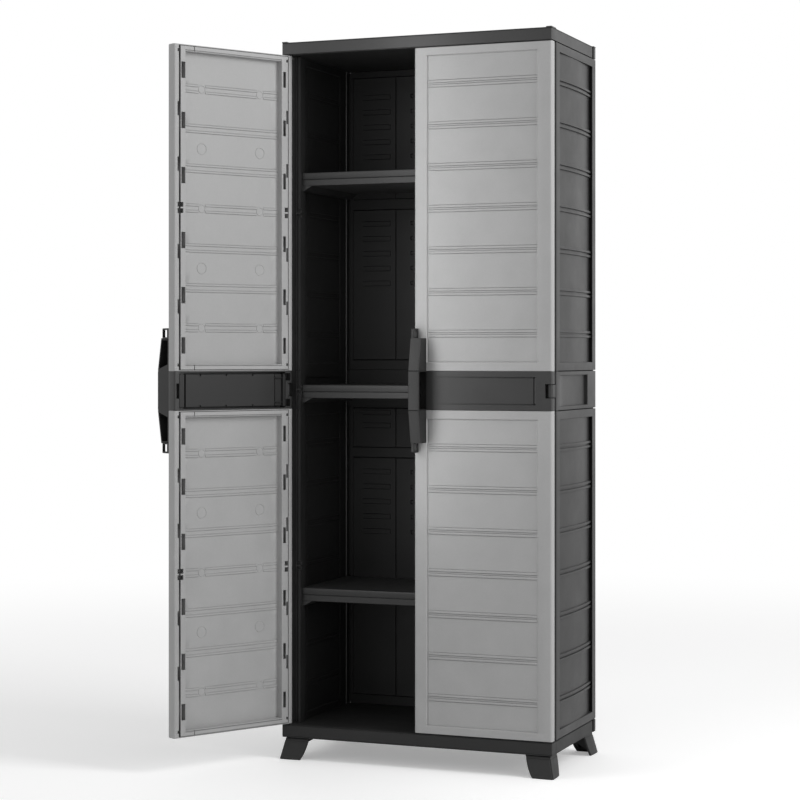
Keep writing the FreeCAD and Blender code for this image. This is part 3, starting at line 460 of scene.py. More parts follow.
# The clip windows: places from a panel's middle, half of a length, and their sides.
WINDOWS = np.array([-320.5, -203.5, -75.5, 75.5, 203.5, 320.5])
WINDOW_HALF = 19.0
WINDOWS_HINGE = (22.2, 30.2)
WINDOWS_FREE = (DOOR_WIDTH - 30.2, DOOR_WIDTH - 19.5)
# The inner shell's edges.
INNER_LOW = LIP_HINGE + 2.4
INNER_HIGH = DOOR_WIDTH - LIP_FREE - 4.8
INNER_END = 3.4
# The tray's edges, from the hinge edge of the door and from a panel's end.
TRAY_LOW = 33.8
TRAY_HIGH = DOOR_WIDTH - 30.5
TRAY_END = 15.0
# The tray's side walls and its end walls, by the distance inwards. A channel runs along an end wall's foot.
TRAY_WALL = ((0, 0.3, 0.7, 1.3, 1.7, 3.0), (0, 0.3, 1.4, 15.0, 16.2, 15.5))
TRAY_END_WALL = ((0, 0.4, 0.9, 1.4, 3.0, 3.8, 5.0), (0, 0.3, 1.4, 17.6, 18.0, 15.8, 15.5))
# Every third rail stops either side of these places, and fine rings mark them, by radius and height.
BOSSES = np.array([88.0, 253.0])
BOSS_HALF = 10.2
RING_DEPTH = 15.6
LARGE_RINGS = (12.8, (-140.0, 140.0))
SMALL_RINGS = (9.2, (-3 * INNER_RAIL_PITCH, 0.0, 3 * INNER_RAIL_PITCH))
# A short seam across the border and a groove along it, between the tray's end and the panel's.
SHORT_SEAM = (DOOR_WIDTH - 56.7, DOOR_WIDTH - 54.3)
BORDER_GROOVE = (TRAY_END - 3.0, TRAY_END - 1.2)


def small_ring(side, u, w, z, radius, thick=1.1):
    """A fine raised ring on the tray's floor: a circle carried round a circle."""
    turn, around = grid(*(np.linspace(0, 2 * math.pi, count, endpoint=False) for count in (36, 6)))
    reach = radius + thick * np.cos(around)
    return ring(on_door(side, u + reach * np.cos(turn), w + thick * np.sin(around), z + reach * np.sin(turn)))


def door_inner(side, level):
    """The inner shell: a border flush with the lips, twelve clip windows, and a deep tray with double rails.

    The tray's wall is a profile of the distance in from its nearest edge.
    """
    low, high = DOOR_LEVELS[level]
    middle = sum(LEVELS[level]) / 2
    panel_middle = (low + high) / 2
    edge = np.array([0, 0.2, 0.5])
    marks_u = [*both_ends(INNER_LOW, INNER_HIGH, edge),
               *both_ends(TRAY_LOW, TRAY_HIGH, [*TRAY_WALL[0], 1, 7]),
               *WINDOWS_HINGE, *WINDOWS_FREE, LATCH_HINGE, DOUBLE_HINGE, DOOR_WIDTH - LATCH_FREE[1],
               DOOR_WIDTH - DOUBLE_FREE, *spread(BOSSES, between_marks(-BOSS_HALF, BOSS_HALF, 1.0)),
               *between_marks(*SHORT_SEAM, 0.4)]
    ends = [*(INNER_END + edge), *between_marks(*BORDER_GROOVE), *np.add(TRAY_END, TRAY_END_WALL[0]),
            *np.add(TRAY_END, TRAY_WALL[0])]
    marks_z = [*both_ends(low, high, ends), *rail_marks(middle, INNER_RAIL[0], INNER_RAIL_PITCH),
               *spread(panel_middle + WINDOWS, [-WINDOW_HALF, WINDOW_HALF]), *latch_marks(panel_middle)]
    u, z = grid(lines(INNER_LOW, INNER_HIGH, marks_u), lines(low + INNER_END, high - INNER_END, marks_z))
    end = from_ends(z, low, high)
    border = np.minimum(from_ends(u, INNER_LOW, INNER_HIGH), end - INNER_END)
    seen = 0.5 * (1 - rise(border, 0, 0.5))
    seen = seen + 3.0 * between(u, *SHORT_SEAM, 0.4) * (end < TRAY_END - 0.5)
    seen = seen + 3.0 * between(end, *BORDER_GROOVE) * between(u, TRAY_LOW, TRAY_HIGH, 1.0)
    across = from_ends(u, TRAY_LOW, TRAY_HIGH)
    seen = seen + np.minimum(np.interp(across, *TRAY_WALL), np.interp(end - TRAY_END, *TRAY_END_WALL))
    rail = np.interp(rail_distance(z, middle, INNER_RAIL_PITCH), *INNER_RAIL) * rise(across, 3, 7)
    stopped = np.max([between(u, place - BOSS_HALF, place + BOSS_HALF, 1.0) for place in BOSSES], 0)
    rail = rail * (1 - stopped * (np.abs(rail_number(z, middle, INNER_RAIL_PITCH)) % 3 == 0))
    seen = seen - rail * (end > TRAY_END + 6)
    middle_u, middle_z = cell_middles(u, z)
    beside = np.abs(middle_z[..., None] - panel_middle - WINDOWS).min(-1) < WINDOW_HALF
    window = beside & (inside(middle_u, WINDOWS_HINGE) | inside(middle_u, WINDOWS_FREE))
    double = np.abs(np.abs(middle_z - panel_middle) - DOUBLE_LATCH[1][1]) < DOUBLE_LATCH[0]
    latch = middle_u < np.where(double, DOUBLE_HINGE, LATCH_HINGE)
    latch |= middle_u > DOOR_WIDTH - np.where(double, DOUBLE_FREE, LATCH_FREE[1])
    latch &= latches(middle_z, panel_middle) > 0.5
    skins = [shell(on_door(side, u, seen + 2, z), on_door(side, u, seen, z), ~window & ~latch)]
    for radius, heights in (LARGE_RINGS, SMALL_RINGS):
        skins += [small_ring(side, u, RING_DEPTH, middle + height, radius)
                  for u in BOSSES for height in heights]
    return skins


# The notch of a door's belt for the knuckle, as two heights and its width from the hinge edge.
NOTCH = (875.5, 908.5)
NOTCH_WIDTH = 16.5
# The slot in the belt's lip at the free side, from the free edge, and its heights.
SLOT = (5.5, 12.9)
SLOT_HEIGHTS = (874.2, 909.4)
SLOT_DEPTH = 15.0
# The hollow for the fingers behind the handle.
FINGERS = (DOOR_WIDTH - 29.5, DOOR_WIDTH - 8.5)
FINGERS_HEIGHTS = (BELT_MIDDLE - 44.0, BELT_MIDDLE + 44.0)
FINGERS_DEPTH = 18.0
# The hollow of the belt's back, from the hinge edge, the free edge and the belt's ends.
HOLLOW_HINGE = 24.0
HOLLOW_FREE = 12.8
HOLLOW_END = 3.0
BELT_WALL = 7.0
# A pocket beside that hollow, from the hinge edge and from the belt's ends.
POCKET_HINGE = (9.5, 24.15)
POCKET_END = (6.0, 24.15)
POCKET_DEPTH = 14.0
# The slope and the channel round the field of the belt's front, in the same way.
FIELD_HINGE = (38.8, 40.0)
FIELD_END = (13.4, 14.2)
CHANNEL_HINGE = (39.4, 45.2)
CHANNEL_END = (13.8, 16.2)
# From the free edge, where that field starts to sink, and how deep it gets.
FIELD_START = 51.0
FIELD_DEPTH = 2.2


def door_belt(side):
    """The belt across a door: the outer pan's section, with a field that deepens from the free side to a
    channel at the hinge side, a notch for the knuckle, a slot in the free side's lip and a finger hollow.
    """
    low, high = BELT_LOW, BELT_HIGH
    free_marks = [*round_marks(FRONT_RADIUS), *round_marks(FREE_RADIUS), *step_marks(HOLLOW_FREE),
                  *between_marks(*SLOT), 60]
    marks_u = [*round_marks(FRONT_RADIUS), *round_marks(HINGE_RADIUS), *np.subtract(DOOR_WIDTH, free_marks),
               *FIELD_HINGE, *CHANNEL_HINGE, 38.6, 43.4, 44.4, 45.4, 60, 80, NOTCH_WIDTH,
               *between_marks(*POCKET_HINGE), *between_marks(*FINGERS)]
    ends = [*round_marks(1.6), *step_marks(HOLLOW_END), *between_marks(*POCKET_END), *FIELD_END, *CHANNEL_END,
            13.2, 14.4, 15.0, 15.6, 16.4]
    marks_z = [*both_ends(low, high, ends), *NOTCH, *between_marks(*SLOT_HEIGHTS),
               *between_marks(*FINGERS_HEIGHTS)]
    u, z = grid(lines(0, DOOR_WIDTH, marks_u), lines(low, high, marks_z))
    end = from_ends(z, low, high)
    free = DOOR_WIDTH - u
    sinking = free - FIELD_START
    deepening = np.clip(sinking / 60, 0, 1) * (0.5 + 0.5 * np.clip(sinking / 240, 0, 1))
    floor = rise(u, *FIELD_HINGE) * rise(end, *FIELD_END) * deepening
    channel = 2.4 * between(u, *CHANNEL_HINGE, 0.9) + 0.9 * between(end, *CHANNEL_END, 0.9)
    front = DOOR_DEPTH - rounded(np.minimum(u, free), FRONT_RADIUS) - rounded(end, 1.6)
    front = front - (FIELD_DEPTH + channel) * floor
    front = front - FINGERS_DEPTH * between(u, *FINGERS) * between(z, *FINGERS_HEIGHTS)
    hollow = step(u, HOLLOW_HINGE) * step(free, HOLLOW_FREE) * step(end, HOLLOW_END)
    back = rounded(u, HINGE_RADIUS) + rounded(free, FREE_RADIUS) + rounded(end, 1.4)
    back = back + SLOT_DEPTH * between(free, *SLOT) * between(z, *SLOT_HEIGHTS)
    back = back + POCKET_DEPTH * between(u, *POCKET_HINGE) * between(end, *POCKET_END)
    back = np.minimum(back * (1 - hollow) + (DOOR_DEPTH - BELT_WALL) * hollow, front - 2)
    middle_u, middle_z = cell_middles(u, z)
    keep = ~((middle_u < NOTCH_WIDTH) & inside(middle_z, NOTCH))
    return shell(on_door(side, u, front, z), on_door(side, u, back, z), keep)


def belt_cover(side):
    """The belt's inner cover: a plate with a deep seam near its free end, three small notches above and
    below, and a lower step with two fine ridges at its hinge end.
    """
    low, high = BELT_LOW + 7.4, BELT_HIGH - 7.4
    u_low, u_high = 24.6, DOOR_WIDTH - 13.4
    edge = np.array([0, 0.4, 1.1])
    notches = np.array([120.0, 195.5, 268.0])
    notch_half, notch_end = 2.6, 4.6
    end_seam = (DOOR_WIDTH - 31.2, DOOR_WIDTH - 27.0)
    lower_step, fold = (31.0, 57.0), (50.5, 52.5)
    ridges = np.array([862.0, 920.5])
    marks_u = [*both_ends(u_low, u_high, edge), *between_marks(*lower_step, 0.8), *between_marks(*end_seam),
               *spread(notches, between_marks(-notch_half, notch_half)), *between_marks(*fold, 0.5)]
    marks_z = [*both_ends(low, high, [*edge, *step_marks(notch_end)]),
               *spread(ridges, between_marks(-1, 1, 0.6))]
    u, z = grid(lines(u_low, u_high, marks_u), lines(low, high, marks_z))
    end = from_ends(z, low, high)
    border = np.minimum(from_ends(u, u_low, u_high), end)
    seen = 1.2 * (1 - rise(border, 0, 1.1)) + 9 * between(u, *end_seam)
    notch = np.max([between(u, place - notch_half, place + notch_half) for place in notches], 0)
    ridge = np.max([between(z, place - 1.0, place + 1.0, 0.6) for place in ridges], 0)
    sunk = 6.0 * between(u, *lower_step, 0.8) * (1 - 0.8 * ridge) + 1.6 * between(u, *fold, 0.5)
    seen = seen + 3.2 * notch * (1 - step(end, notch_end)) + sunk
    return shell(on_door(side, u, seen + 2.4, z), on_door(side, u, seen, z))


# The handle, by the distance from the belt's middle: the halves of its grip, finger pocket and body, the
# hollow in each end, and how far it reaches from the door in the grip and at its ends.
GRIP_HALF = 46.0
POCKET_HALF = 44.0
BODY_HALF = 123.0
END_HOLLOW = (51.0, 118.0)
GRIP_REACH = 50.0
END_REACH = 35.0
HANDLE_FOOT = 6.0
HANDLE_WALL = 5.0
HANDLE_NEAR = DOOR_WIDTH - 30.0
HANDLE_FAR = DOOR_WIDTH - 3.0
# A padlock eye, from the door outwards and along it.
EYE_START = 119.0
EYE_REACH = 30.0
EYE_LENGTH = 27.0
EYE_THICKNESS = 7.0
EYE_HOLE = ((9.0, 27.0), (6.0, 23.0))


def handle(side):
    """A handle, as a shape in side view given a thickness: the side view runs from the door out to the grip.

    Its reach is even over the grip and falls in a straight line to its ends. The finger pocket sinks in from
    the hinge side down to the belt, and the hollows of the ends from the free side, each leaving a wall.
    In the side view, across is 0 on the door, 1 at the foot's top, 2 at the grip's underside and 3 outside.
    """
    depth_left = HANDLE_FAR - HANDLE_NEAR - HANDLE_WALL
    curve = round_marks(1.6)
    fine = [-0.1, 0.1]
    marks = [*spread([-GRIP_HALF, GRIP_HALF], [-1.4, 0, 1.4]), *spread([-POCKET_HALF, POCKET_HALF], fine),
             *both_ends(-BODY_HALF, BODY_HALF, curve), *spread([*END_HOLLOW, *np.negative(END_HOLLOW)], fine)]
    out = np.concatenate([[0, 1, 1.02], np.linspace(1.1, 1.9, 5), [1.98, 2], 3 - curve[::-1] / HANDLE_WALL])
    across, s = grid(out, lines(-BODY_HALF, BODY_HALF, marks, 12))
    away = np.abs(s)
    reach = np.interp(away, [0, GRIP_HALF, BODY_HALF], [GRIP_REACH, GRIP_REACH, END_REACH])
    reach = reach - 1.5 * groove(away - GRIP_HALF, 1.4)
    depth = np.where(across < 1, HANDLE_FOOT * across,
                     HANDLE_FOOT + (across - 1) * (reach - HANDLE_FOOT - HANDLE_WALL))
    depth = np.where(across < 2, depth, reach - HANDLE_WALL + HANDLE_WALL * (across - 2))
    edge = rounded(np.minimum(reach - depth, BODY_HALF - away), 1.6)
    under_grip = 1 - rise(across, 1.98, 2)
    pocket = under_grip * (1 - rise(away, POCKET_HALF - 0.1, POCKET_HALF + 0.1))
    hollow = rise(across, 1, 1.02) * under_grip * between(away, END_HOLLOW[0] - 0.1, END_HOLLOW[1] + 0.1, 0.2)
    slant = 11 * np.interp(across, [0, 1, 2, 3], [0, 1, 0, 0])
    slant = slant * np.interp(away, [GRIP_HALF, *END_HOLLOW], [0, 1, 0])
    z = BELT_MIDDLE + s + np.sign(s) * slant
    skins = [shell(on_door(side, HANDLE_NEAR + edge + depth_left * pocket, DOOR_DEPTH + depth, z),
                   on_door(side, HANDLE_FAR - edge - depth_left * hollow, DOOR_DEPTH + depth, z))]
    # The padlock eyes: flat loops with rounded outer corners.
    out = np.array([0, 4, 8.9, 9, 14, 20, 26.9, 27.0, 27.6, 28.6, 29.4, 29.85, 30])
    up = np.array([0, 3, 5.9, 6, 12, 18, 22.9, 23, 23.6, 24.4, 25.4, 26.3, 26.8, 27])
    depth, length = grid(out, up)
    middle_depth, middle_length = cell_middles(depth, length)
    hole = inside(middle_depth, EYE_HOLE[0]) & inside(middle_length, EYE_HOLE[1])
    length = np.minimum(length, EYE_LENGTH - rounded(EYE_REACH - depth, 4.0) * (length > 23.1))
    thin = 0.8 * (1 - rise(np.minimum(EYE_REACH - depth, EYE_LENGTH - length), 0, 1.2))
    for sign in (-1, 1):
        z = BELT_MIDDLE + sign * (EYE_START + length)
        skins.append(shell(on_door(side, HANDLE_FAR - EYE_THICKNESS + thin, DOOR_DEPTH + depth, z),
                           on_door(side, HANDLE_FAR - thin, DOOR_DEPTH + depth, z), ~hole))
    return skins


for side in SIDES:
    body = f"{side}_door"
    for level in LEVELS:
        piece(f"{side}_outer_shell_{level}", [door_outer(side, level)], door_resin, body,
              [f"{side}_door_outer_{level}"])
        piece(f"{side}_inner_shell_{level}", door_inner(side, level), door_resin, body,
              [f"{side}_door_inner_{level}"])
    piece(f"{side}_belt_pan", [door_belt(side)], frame_resin, body, [f"{side}_door_belt"], 12)
    piece(f"{side}_belt_plate", [belt_cover(side)], plate_resin, body, [f"{side}_door_belt_cover"])
    piece(f"{side}_pull_handle", handle(side), handle_resin, body, [f"{side}_handle"])


# Sides and back.

# A side panel's rail, by the distance from its middle: two flat ridges with steep walls.
SIDE_RAIL = ((0, 1.9, 2.3, 2.8, 7.6, 8.1, 8.5), (0, 0, 3.5, 4.0, 4.0, 3.5, 0))
# The same rail seen from inside the cabinet, as a shallow double furrow.
FURROW = ((0, 2.0, 3.0, 7.4, 8.4), (0, 0, 1.2, 1.2, 0))
FURROW_FRONT = (-94, -90)
FURROW_REAR = (104, 108)
SIDE_FRONT = -117.5
SIDE_REAR = 149.8
JAMB_REAR = -136.0
REAR_RADIUS = 3.0
END_RADIUS = 1.6
# The inner face of a side, from front to rear: where its post ends, its field's slopes, and a raised strip
# with the slope of its edges.
POST_REAR = (-117.2, -117.0)
INNER_FRONT = (-98.0, -94.0)
INNER_REAR = (110.0, 113.0)
INNER_ENDS = (16.5, 19.0)
STRIP = (149.0, 160.0, 1.2)


def mirrored(side, x, y, z):
    return joined(x if side == "right" else -x, y, z)


def inner_side(y, end):
    """The inner face of a side, as its distance from the cabinet's middle: a post along the front, a plain
    field between borders, and a raised strip by the back.
    """
    post = (INNER_WALL - POST) * (1 - rise(y, *POST_REAR))
    strip = 2.0 * between(y, *STRIP)
    field = rise(y, *INNER_FRONT) * (1 - rise(y, *INNER_REAR)) * rise(end, *INNER_ENDS)
    return INNER_WALL - post - strip + 2.0 * field


# The front of a side panel: distances from the cabinet's middle, and how far each lies behind the front.
# Two narrow ridges stand beside the opening, with a channel between them and a deeper one by the door's edge.
JAMB = ((307, 307.4, 308.8, 309.4, 315.9, 316.5, 318.9, 319.7, 337.6, 338.2, 339.4, 340.5, 341),
        (0.9, 0, 0, 5.0, 5.0, 0, 0, 9.5, 9.5, 0.2, 0.2, 0.7, 1.8))
# Half way up, the inner ridge has an opening with a bar across its middle: where it ends sideways, and half
# the height of the bar and of the opening.
CATCH_SIDE = 316.0
CATCH_BAR = 1.7
CATCH_HALF = 10.7


def jamb(side, low, high):
    """The front of a side panel: its section, carried from low to high, with the seams at its ends."""
    middle = (low + high) / 2
    edges = spread([CATCH_BAR, CATCH_HALF], [-0.1, 0.1])
    marks_z = [*both_ends(low, high, SEAM_MARKS), *(middle + edges), *(middle - edges)]
    x, z = grid(lines(POST, HALF_WIDTH, JAMB[0]), lines(low, high, marks_z, 200))
    away = np.abs(z - middle)
    section = np.interp(x, *JAMB)
    section = np.where((x < CATCH_SIDE) & (away < CATCH_BAR), 0.5, section)
    section = np.where((x < CATCH_SIDE) & inside(away, (CATCH_BAR, CATCH_HALF)), 9.0, section)
    y = CARCASS_FRONT + np.minimum(section + seam(from_ends(z, low, high)), 10.0)
    return shell(mirrored(side, x, y, z), mirrored(side, x, JAMB_REAR, z))


# The rear edge of a side's recess, by the distance from it: the share of the field's depth that is left, an
# extra depth, and how far the surface moves back under the rear band.
UNDERCUT = ((-6, -1.0, -0.7, 0, 0.2, 0.3), (1, 1, 0, 0, 0, 0), (0, 0, 13.0, 12.0, 0.8, 0),
            (0, 3.5, 4.0, 8.0, 0.2, 0))


def side_wall(side, level):
    """A side panel: outside, a recess with seven double rails, undercut along its rear edge; inside, the post
    and the plain field with shallow furrows behind the rails.

    The recess is bowed: 7 mm deep at the front and 8.5 mm at the rear, less half a sine wave.
    """
    low, high = LEVELS[level]
    middle = (low + high) / 2
    marks_y = [*(REAR - round_marks(REAR_RADIUS)), SIDE_FRONT, SIDE_FRONT + 0.3,
               *np.add(SIDE_REAR, UNDERCUT[0]), *POST_REAR, *INNER_FRONT, *INNER_REAR, *between_marks(*STRIP)]
    marks_z = [*both_ends(low, high, [*round_marks(END_RADIUS), *INNER_ENDS, *SEAM_MARKS]),
               *rail_marks(middle, SIDE_RAIL[0]), *rail_marks(middle, FURROW[0]),
               *both_ends(middle - RECESS_HALF, middle + RECESS_HALF, [0, 0.3, 0.8])]
    y, z = grid(lines(JAMB_REAR, REAR, marks_y, 12), lines(low, high, marks_z))
    end = from_ends(z, low, high)
    inward = RECESS_HALF - np.abs(z - middle)
    edges = rounded(REAR - y, REAR_RADIUS) + rounded(end, END_RADIUS) + seam(end)
    along = np.clip((y - SIDE_FRONT) / (SIDE_REAR - SIDE_FRONT), 0, 1)
    depth = 7.0 + 1.5 * along ** 2 - 5.5 * np.sin(math.pi * along)
    rail = np.interp(rail_distance(z, middle), *SIDE_RAIL)
    share, extra, shift = (np.interp(y - SIDE_REAR, UNDERCUT[0], values) for values in UNDERCUT[1:])
    recess = rise(y, SIDE_FRONT, SIDE_FRONT + 0.3) * rise(inward, 0, 0.8)
    outer = HALF_WIDTH - edges - ((depth - rail) * share + extra) * recess
    outer_y = y + shift * recess
    furrow = np.interp(rail_distance(z, middle), *FURROW)
    furrow = furrow * rise(y, *FURROW_FRONT) * (1 - rise(y, *FURROW_REAR))
    inner = np.minimum(inner_side(y, end) + furrow, outer - 2)
    return [shell(mirrored(side, outer, outer_y, z), mirrored(side, inner, y, z)), jamb(side, low, high)]


# The recess of a side's belt: its ramp, its rear, and the slopes of its ends.
RAMP = 48.0
BELT_REAR = 108.0
BELT_ENDS = (9.5, 10.4)
# The tongue that carries the knuckle, and the knuckle's section as radii and heights from the belt's middle.
TONGUE_FRONT = -166.0
TONGUE_REAR = -135.0
TONGUE_HALF = 15.0
TONGUE_SIDES = (336.5, 340.0)
KNUCKLE = ((3.1, 3.6, 6.4, 7.0, 7.0, 6.4, 3.6, 3.1), (14.5, 15, 15, 14.4, -14.4, -15, -15, -14.5))


def side_belt(side):
    """The belt of a side: a recess that sinks along a ramp, and the tongue and knuckle for the door's pin."""
    low, high = BELT_LOW, BELT_HIGH
    marks_y = [*(REAR - round_marks(REAR_RADIUS)), SIDE_FRONT, -70,
               *between_marks(BELT_REAR - 3, BELT_REAR + 0.3, 0.3), *POST_REAR, *between_marks(*STRIP)]
    ends = [*round_marks(END_RADIUS), *BELT_ENDS, 9.8, *INNER_ENDS, *SEAM_MARKS]
    y, z = grid(lines(JAMB_REAR, REAR, marks_y), lines(low, high, both_ends(low, high, ends)))
    end = from_ends(z, low, high)
    edges = rounded(REAR - y, REAR_RADIUS) + rounded(end, END_RADIUS) + seam(end)
    recess = np.clip((y - SIDE_FRONT) / RAMP, 0, 1) * (1 - rise(y, BELT_REAR, BELT_REAR + 0.3))
    recess = recess * rise(end, *BELT_ENDS)
    outer = HALF_WIDTH - edges - (7.0 + 5.0 * between(y, BELT_REAR - 3, BELT_REAR + 0.3, 0.3)) * recess
    inner = np.minimum(inner_side(y, end), outer - 2)
    skins = [shell(mirrored(side, outer, y, z), mirrored(side, inner, y, z)), jamb(side, low, high)]
    heights = lines(-TONGUE_HALF, TONGUE_HALF, both_ends(-TONGUE_HALF, TONGUE_HALF, [0, 0.4, 0.9]), 6)
    y, z = grid(lines(TONGUE_FRONT, TONGUE_REAR, [-165, -150], 4), heights)
    drop = rounded(TONGUE_HALF - np.abs(z), 0.9)
    skins.append(shell(mirrored(side, TONGUE_SIDES[1] - drop, y, BELT_MIDDLE + z),
                       mirrored(side, TONGUE_SIDES[0] + drop, y, BELT_MIDDLE + z)))
    turn, radius = grid(np.linspace(0, 2 * math.pi, 40, endpoint=False), KNUCKLE[0])
    skins.append(ring(mirrored(side, HINGE[0] + radius * np.cos(turn), HINGE[1] + radius * np.sin(turn),
                               np.add(BELT_MIDDLE, KNUCKLE[1]))))
    return skins


def tile(x, z, x_span, z_span, slope):
    """One inside an upright rectangle and 0 outside, with a slope inwards along its edge."""
    inward = np.minimum(from_ends(x, *x_span), from_ends(z, *z_span))
    return np.clip(inward / slope, 0, 1)


# The back's fields: their columns and rows, the slope of their edges, how far they stand forward, and the
# middles of their louvres, most of them in fives.
COLUMNS = ((-300.0, -112.0), (-88.0, 88.0), (112.0, 300.0))
BACK_ROWS = {"lower": ((108.0, 716.0), (739.0, 842.0)), "upper": ((962.0, 1347.0), (1371.0, 1684.0))}
TILE_SLOPE = 3.0
TILE_FORWARD = 4.0
FIVE_LOUVRES = 38.0 * np.arange(5)
LOUVRES = {"lower": np.array([*(527 + FIVE_LOUVRES), 796.5, 829.5]),
           "upper": np.concatenate([1158 + FIVE_LOUVRES, 1480 + FIVE_LOUVRES])}
# A louvre by the distance from its middle, and where louvres end in the outer columns and in the middle one.
LOUVRE = ((0, 5.4, 6.4, 6.8), (1.4, 1.4, -0.8, 0))
LOUVRE_OUTER = (195.0, 269.5)
LOUVRE_MIDDLE = 60.0
# The square holes and the upright groove of the outer columns, the line round a field, and the side gap.
HOLES = (133.0, 139.5)
HOLE_HALF = 3.3
HOLE_DEPTH = 3.0
UPRIGHT = 180.0
FRAME_LINE = 12.5
SIDE_GAP = (6.2, 6.4)
SIDE_GAP_DEPTH = 7.0


def back_wall(level):
    """Half of the back: three columns of two fields that stand forward, with louvres in them, an upright
    groove and a row of square holes down each outer column, and a gap along both sides.
    """
    low, high = LEVELS[level]
    rows, louvres = BACK_ROWS[level], LOUVRES[level]
    places = [*np.subtract(INNER_WALL, SIDE_GAP), *(UPRIGHT + np.array([-1.6, 0, 1.6])),
              *spread([*LOUVRE_OUTER, *HOLES, LOUVRE_MIDDLE], [-0.3, 0.3])]
    marks_x = [*places, *np.negative(places)]
    for start, stop in COLUMNS:
        marks_x += [*both_ends(start, stop, [0, TILE_SLOPE / 2, TILE_SLOPE])]
    offsets = [*LOUVRE[0][1:], HOLE_HALF]
    marks_z = [*spread(louvres, [*offsets, *np.negative(offsets)]), *both_ends(low, high, SEAM_MARKS)]
    for start, stop in rows:
        marks_z += [*both_ends(start, stop, [0, TILE_SLOPE / 2, TILE_SLOPE,
                                             FRAME_LINE - 0.5, FRAME_LINE + 0.5])]
    x, z = grid(lines(-INNER_WALL, INNER_WALL, marks_x), lines(low, high, marks_z))
    field = np.max([tile(x, z, column, row, TILE_SLOPE) for column in COLUMNS for row in rows], 0)
    frame_line = np.max([groove(z - stop + FRAME_LINE, 0.8) + groove(z - start - FRAME_LINE, 0.8)
                         for start, stop in rows], 0)
    away = np.abs(z[..., None] - louvres).min(-1)
    reach = np.abs(x)
    span = np.maximum(between(reach, *LOUVRE_OUTER, 0.3),
                      1 - rise(reach, LOUVRE_MIDDLE - 0.3, LOUVRE_MIDDLE + 0.3))
    forward = field * (TILE_FORWARD + span * np.interp(away, *LOUVRE) - 1.5 * groove(reach - UPRIGHT, 1.6)
                       - 0.8 * frame_line)
    hole = HOLE_DEPTH * between(reach, *HOLES, 0.3) * (away < HOLE_HALF)
    side_gap = SIDE_GAP_DEPTH * (1 - rise(INNER_WALL - reach, *SIDE_GAP))
    front = BACK_FRONT - forward + hole * field + side_gap + seam(from_ends(z, low, high))
    front = np.minimum(front, BACK_REAR - 2)
    return shell(joined(x, front, z), joined(x, BACK_REAR - 2.4 * field, z))


def back_belt():
    """The belt of the back, a flat sheet with a shallow field."""
    half_x, half_z, slope = 289.0, 34.0, 3.0
    x, z = grid(lines(-INNER_WALL, INNER_WALL, both_ends(-half_x, half_x, [0, slope])),
                lines(BELT_LOW, BELT_HIGH, both_ends(BELT_MIDDLE - half_z, BELT_MIDDLE + half_z, [0, slope])))
    sunk = rise(half_x - np.abs(x), 0, slope) * rise(half_z - np.abs(z - BELT_MIDDLE), 0, slope)
    return shell(joined(x, BACK_FRONT, z), joined(x, BACK_REAR - 2 * sunk, z))


for side in SIDES:
    for level in LEVELS:
        piece(f"side_wall_{level}_{side}", side_wall(side, level), panel_resin, "carcass",
              [f"side_panel_{level}_{side}"])
    piece(f"side_belt_{side}", side_belt(side), panel_resin, "carcass",
          [f"side_connector_{side}"])
for level in LEVELS:
    piece(f"back_wall_{level}", [back_wall(level)], back_resin, "carcass",
          [f"back_panel_{level}"], 15)
piece("back_belt", [back_belt()], back_resin, "carcass", ["back_connector"], 15)


# Shelves.

SHELF_HEIGHT = 32.0
SHELF_FRONT = -134.0
SHELF_REAR = 160.0
SHELF_HALF = 312.0
# Beside the front posts, from this distance out, a shelf's front steps back.
NARROW_FROM = 306.05
NARROW_FRONT = -116.0


def shelf_board(top):
    """A shelf: its section, with the set-back lower band, rounded edges and shallow grooves along its top and
    its underside, carried from side to side. The grooves stop short of both ends.
    """
    low, front, rear = top - SHELF_HEIGHT, SHELF_FRONT, SHELF_REAR
    grooves = np.arange(-100.0, 150.0, 30.0)
    over = spread(grooves[::-1], [1.6, 0.8, -0.8, -1.6])
    under = spread(grooves, [-2.4, -1.6, 1.6, 2.4])
    nose = [(front + 3, top), (front + 1.2, top - 0.5), (front + 0.3, top - 1.6), (front, top - 3.2),
            (front, low + 17.6), (front + 0.4, low + 16.6), (front + 1.4, low + 16.0),
            (front + 2.6, low + 15.2), (front + 2.0, low + 14.4), (front + 2, low + 1.2), (front + 3.2, low)]
    loop = np.array([*nose, *[(y, low) for y in under], (rear, low), (rear, top - 1), (rear - 1, top),
                     *[(y, top) for y in over]])
    sunk = np.concatenate([np.zeros(len(nose)), np.tile([0, 1.6, 1.6, 0], len(grooves)), np.zeros(3),
                           -np.tile([0, 0.7, 0.7, 0], len(grooves))])
    ends = np.array([290, 292, NARROW_FROM - 0.05, NARROW_FROM + 0.05])
    x = lines(-SHELF_HALF, SHELF_HALF, [*ends, *-ends], 60)[:, None]
    # The points that step back stay a hair apart, so that no two of them meet.
    narrow = np.maximum(loop[:, 0], NARROW_FRONT + 0.001 * np.arange(len(loop)))
    y = np.where(np.abs(x) > NARROW_FROM, narrow, loop[:, 0])
    z = loop[:, 1] + sunk * (np.abs(x) < 291)
    return bar(joined(x, y, z))


for level, top in (("lower", 410.0), ("middle", 903.0), ("upper", 1418.0)):
    piece(f"shelf_board_{level}", [shelf_board(top)], shelf_resin, "carcass", [f"shelf_{level}"])
    for side in SIDES:
        nodes[f"shelf_bracket_{level}_{side}"].material_slots[0].material = shelf_resin


# Base, cap and feet.

# The notch in each side of base and cap near the rear: its front, its rear and the slope of its ends.
REAR_NOTCH = (148.0, 162.0, 0.5)
REAR_NOTCH_DEPTH = 6.0
CORNER_RADIUS = 3.0


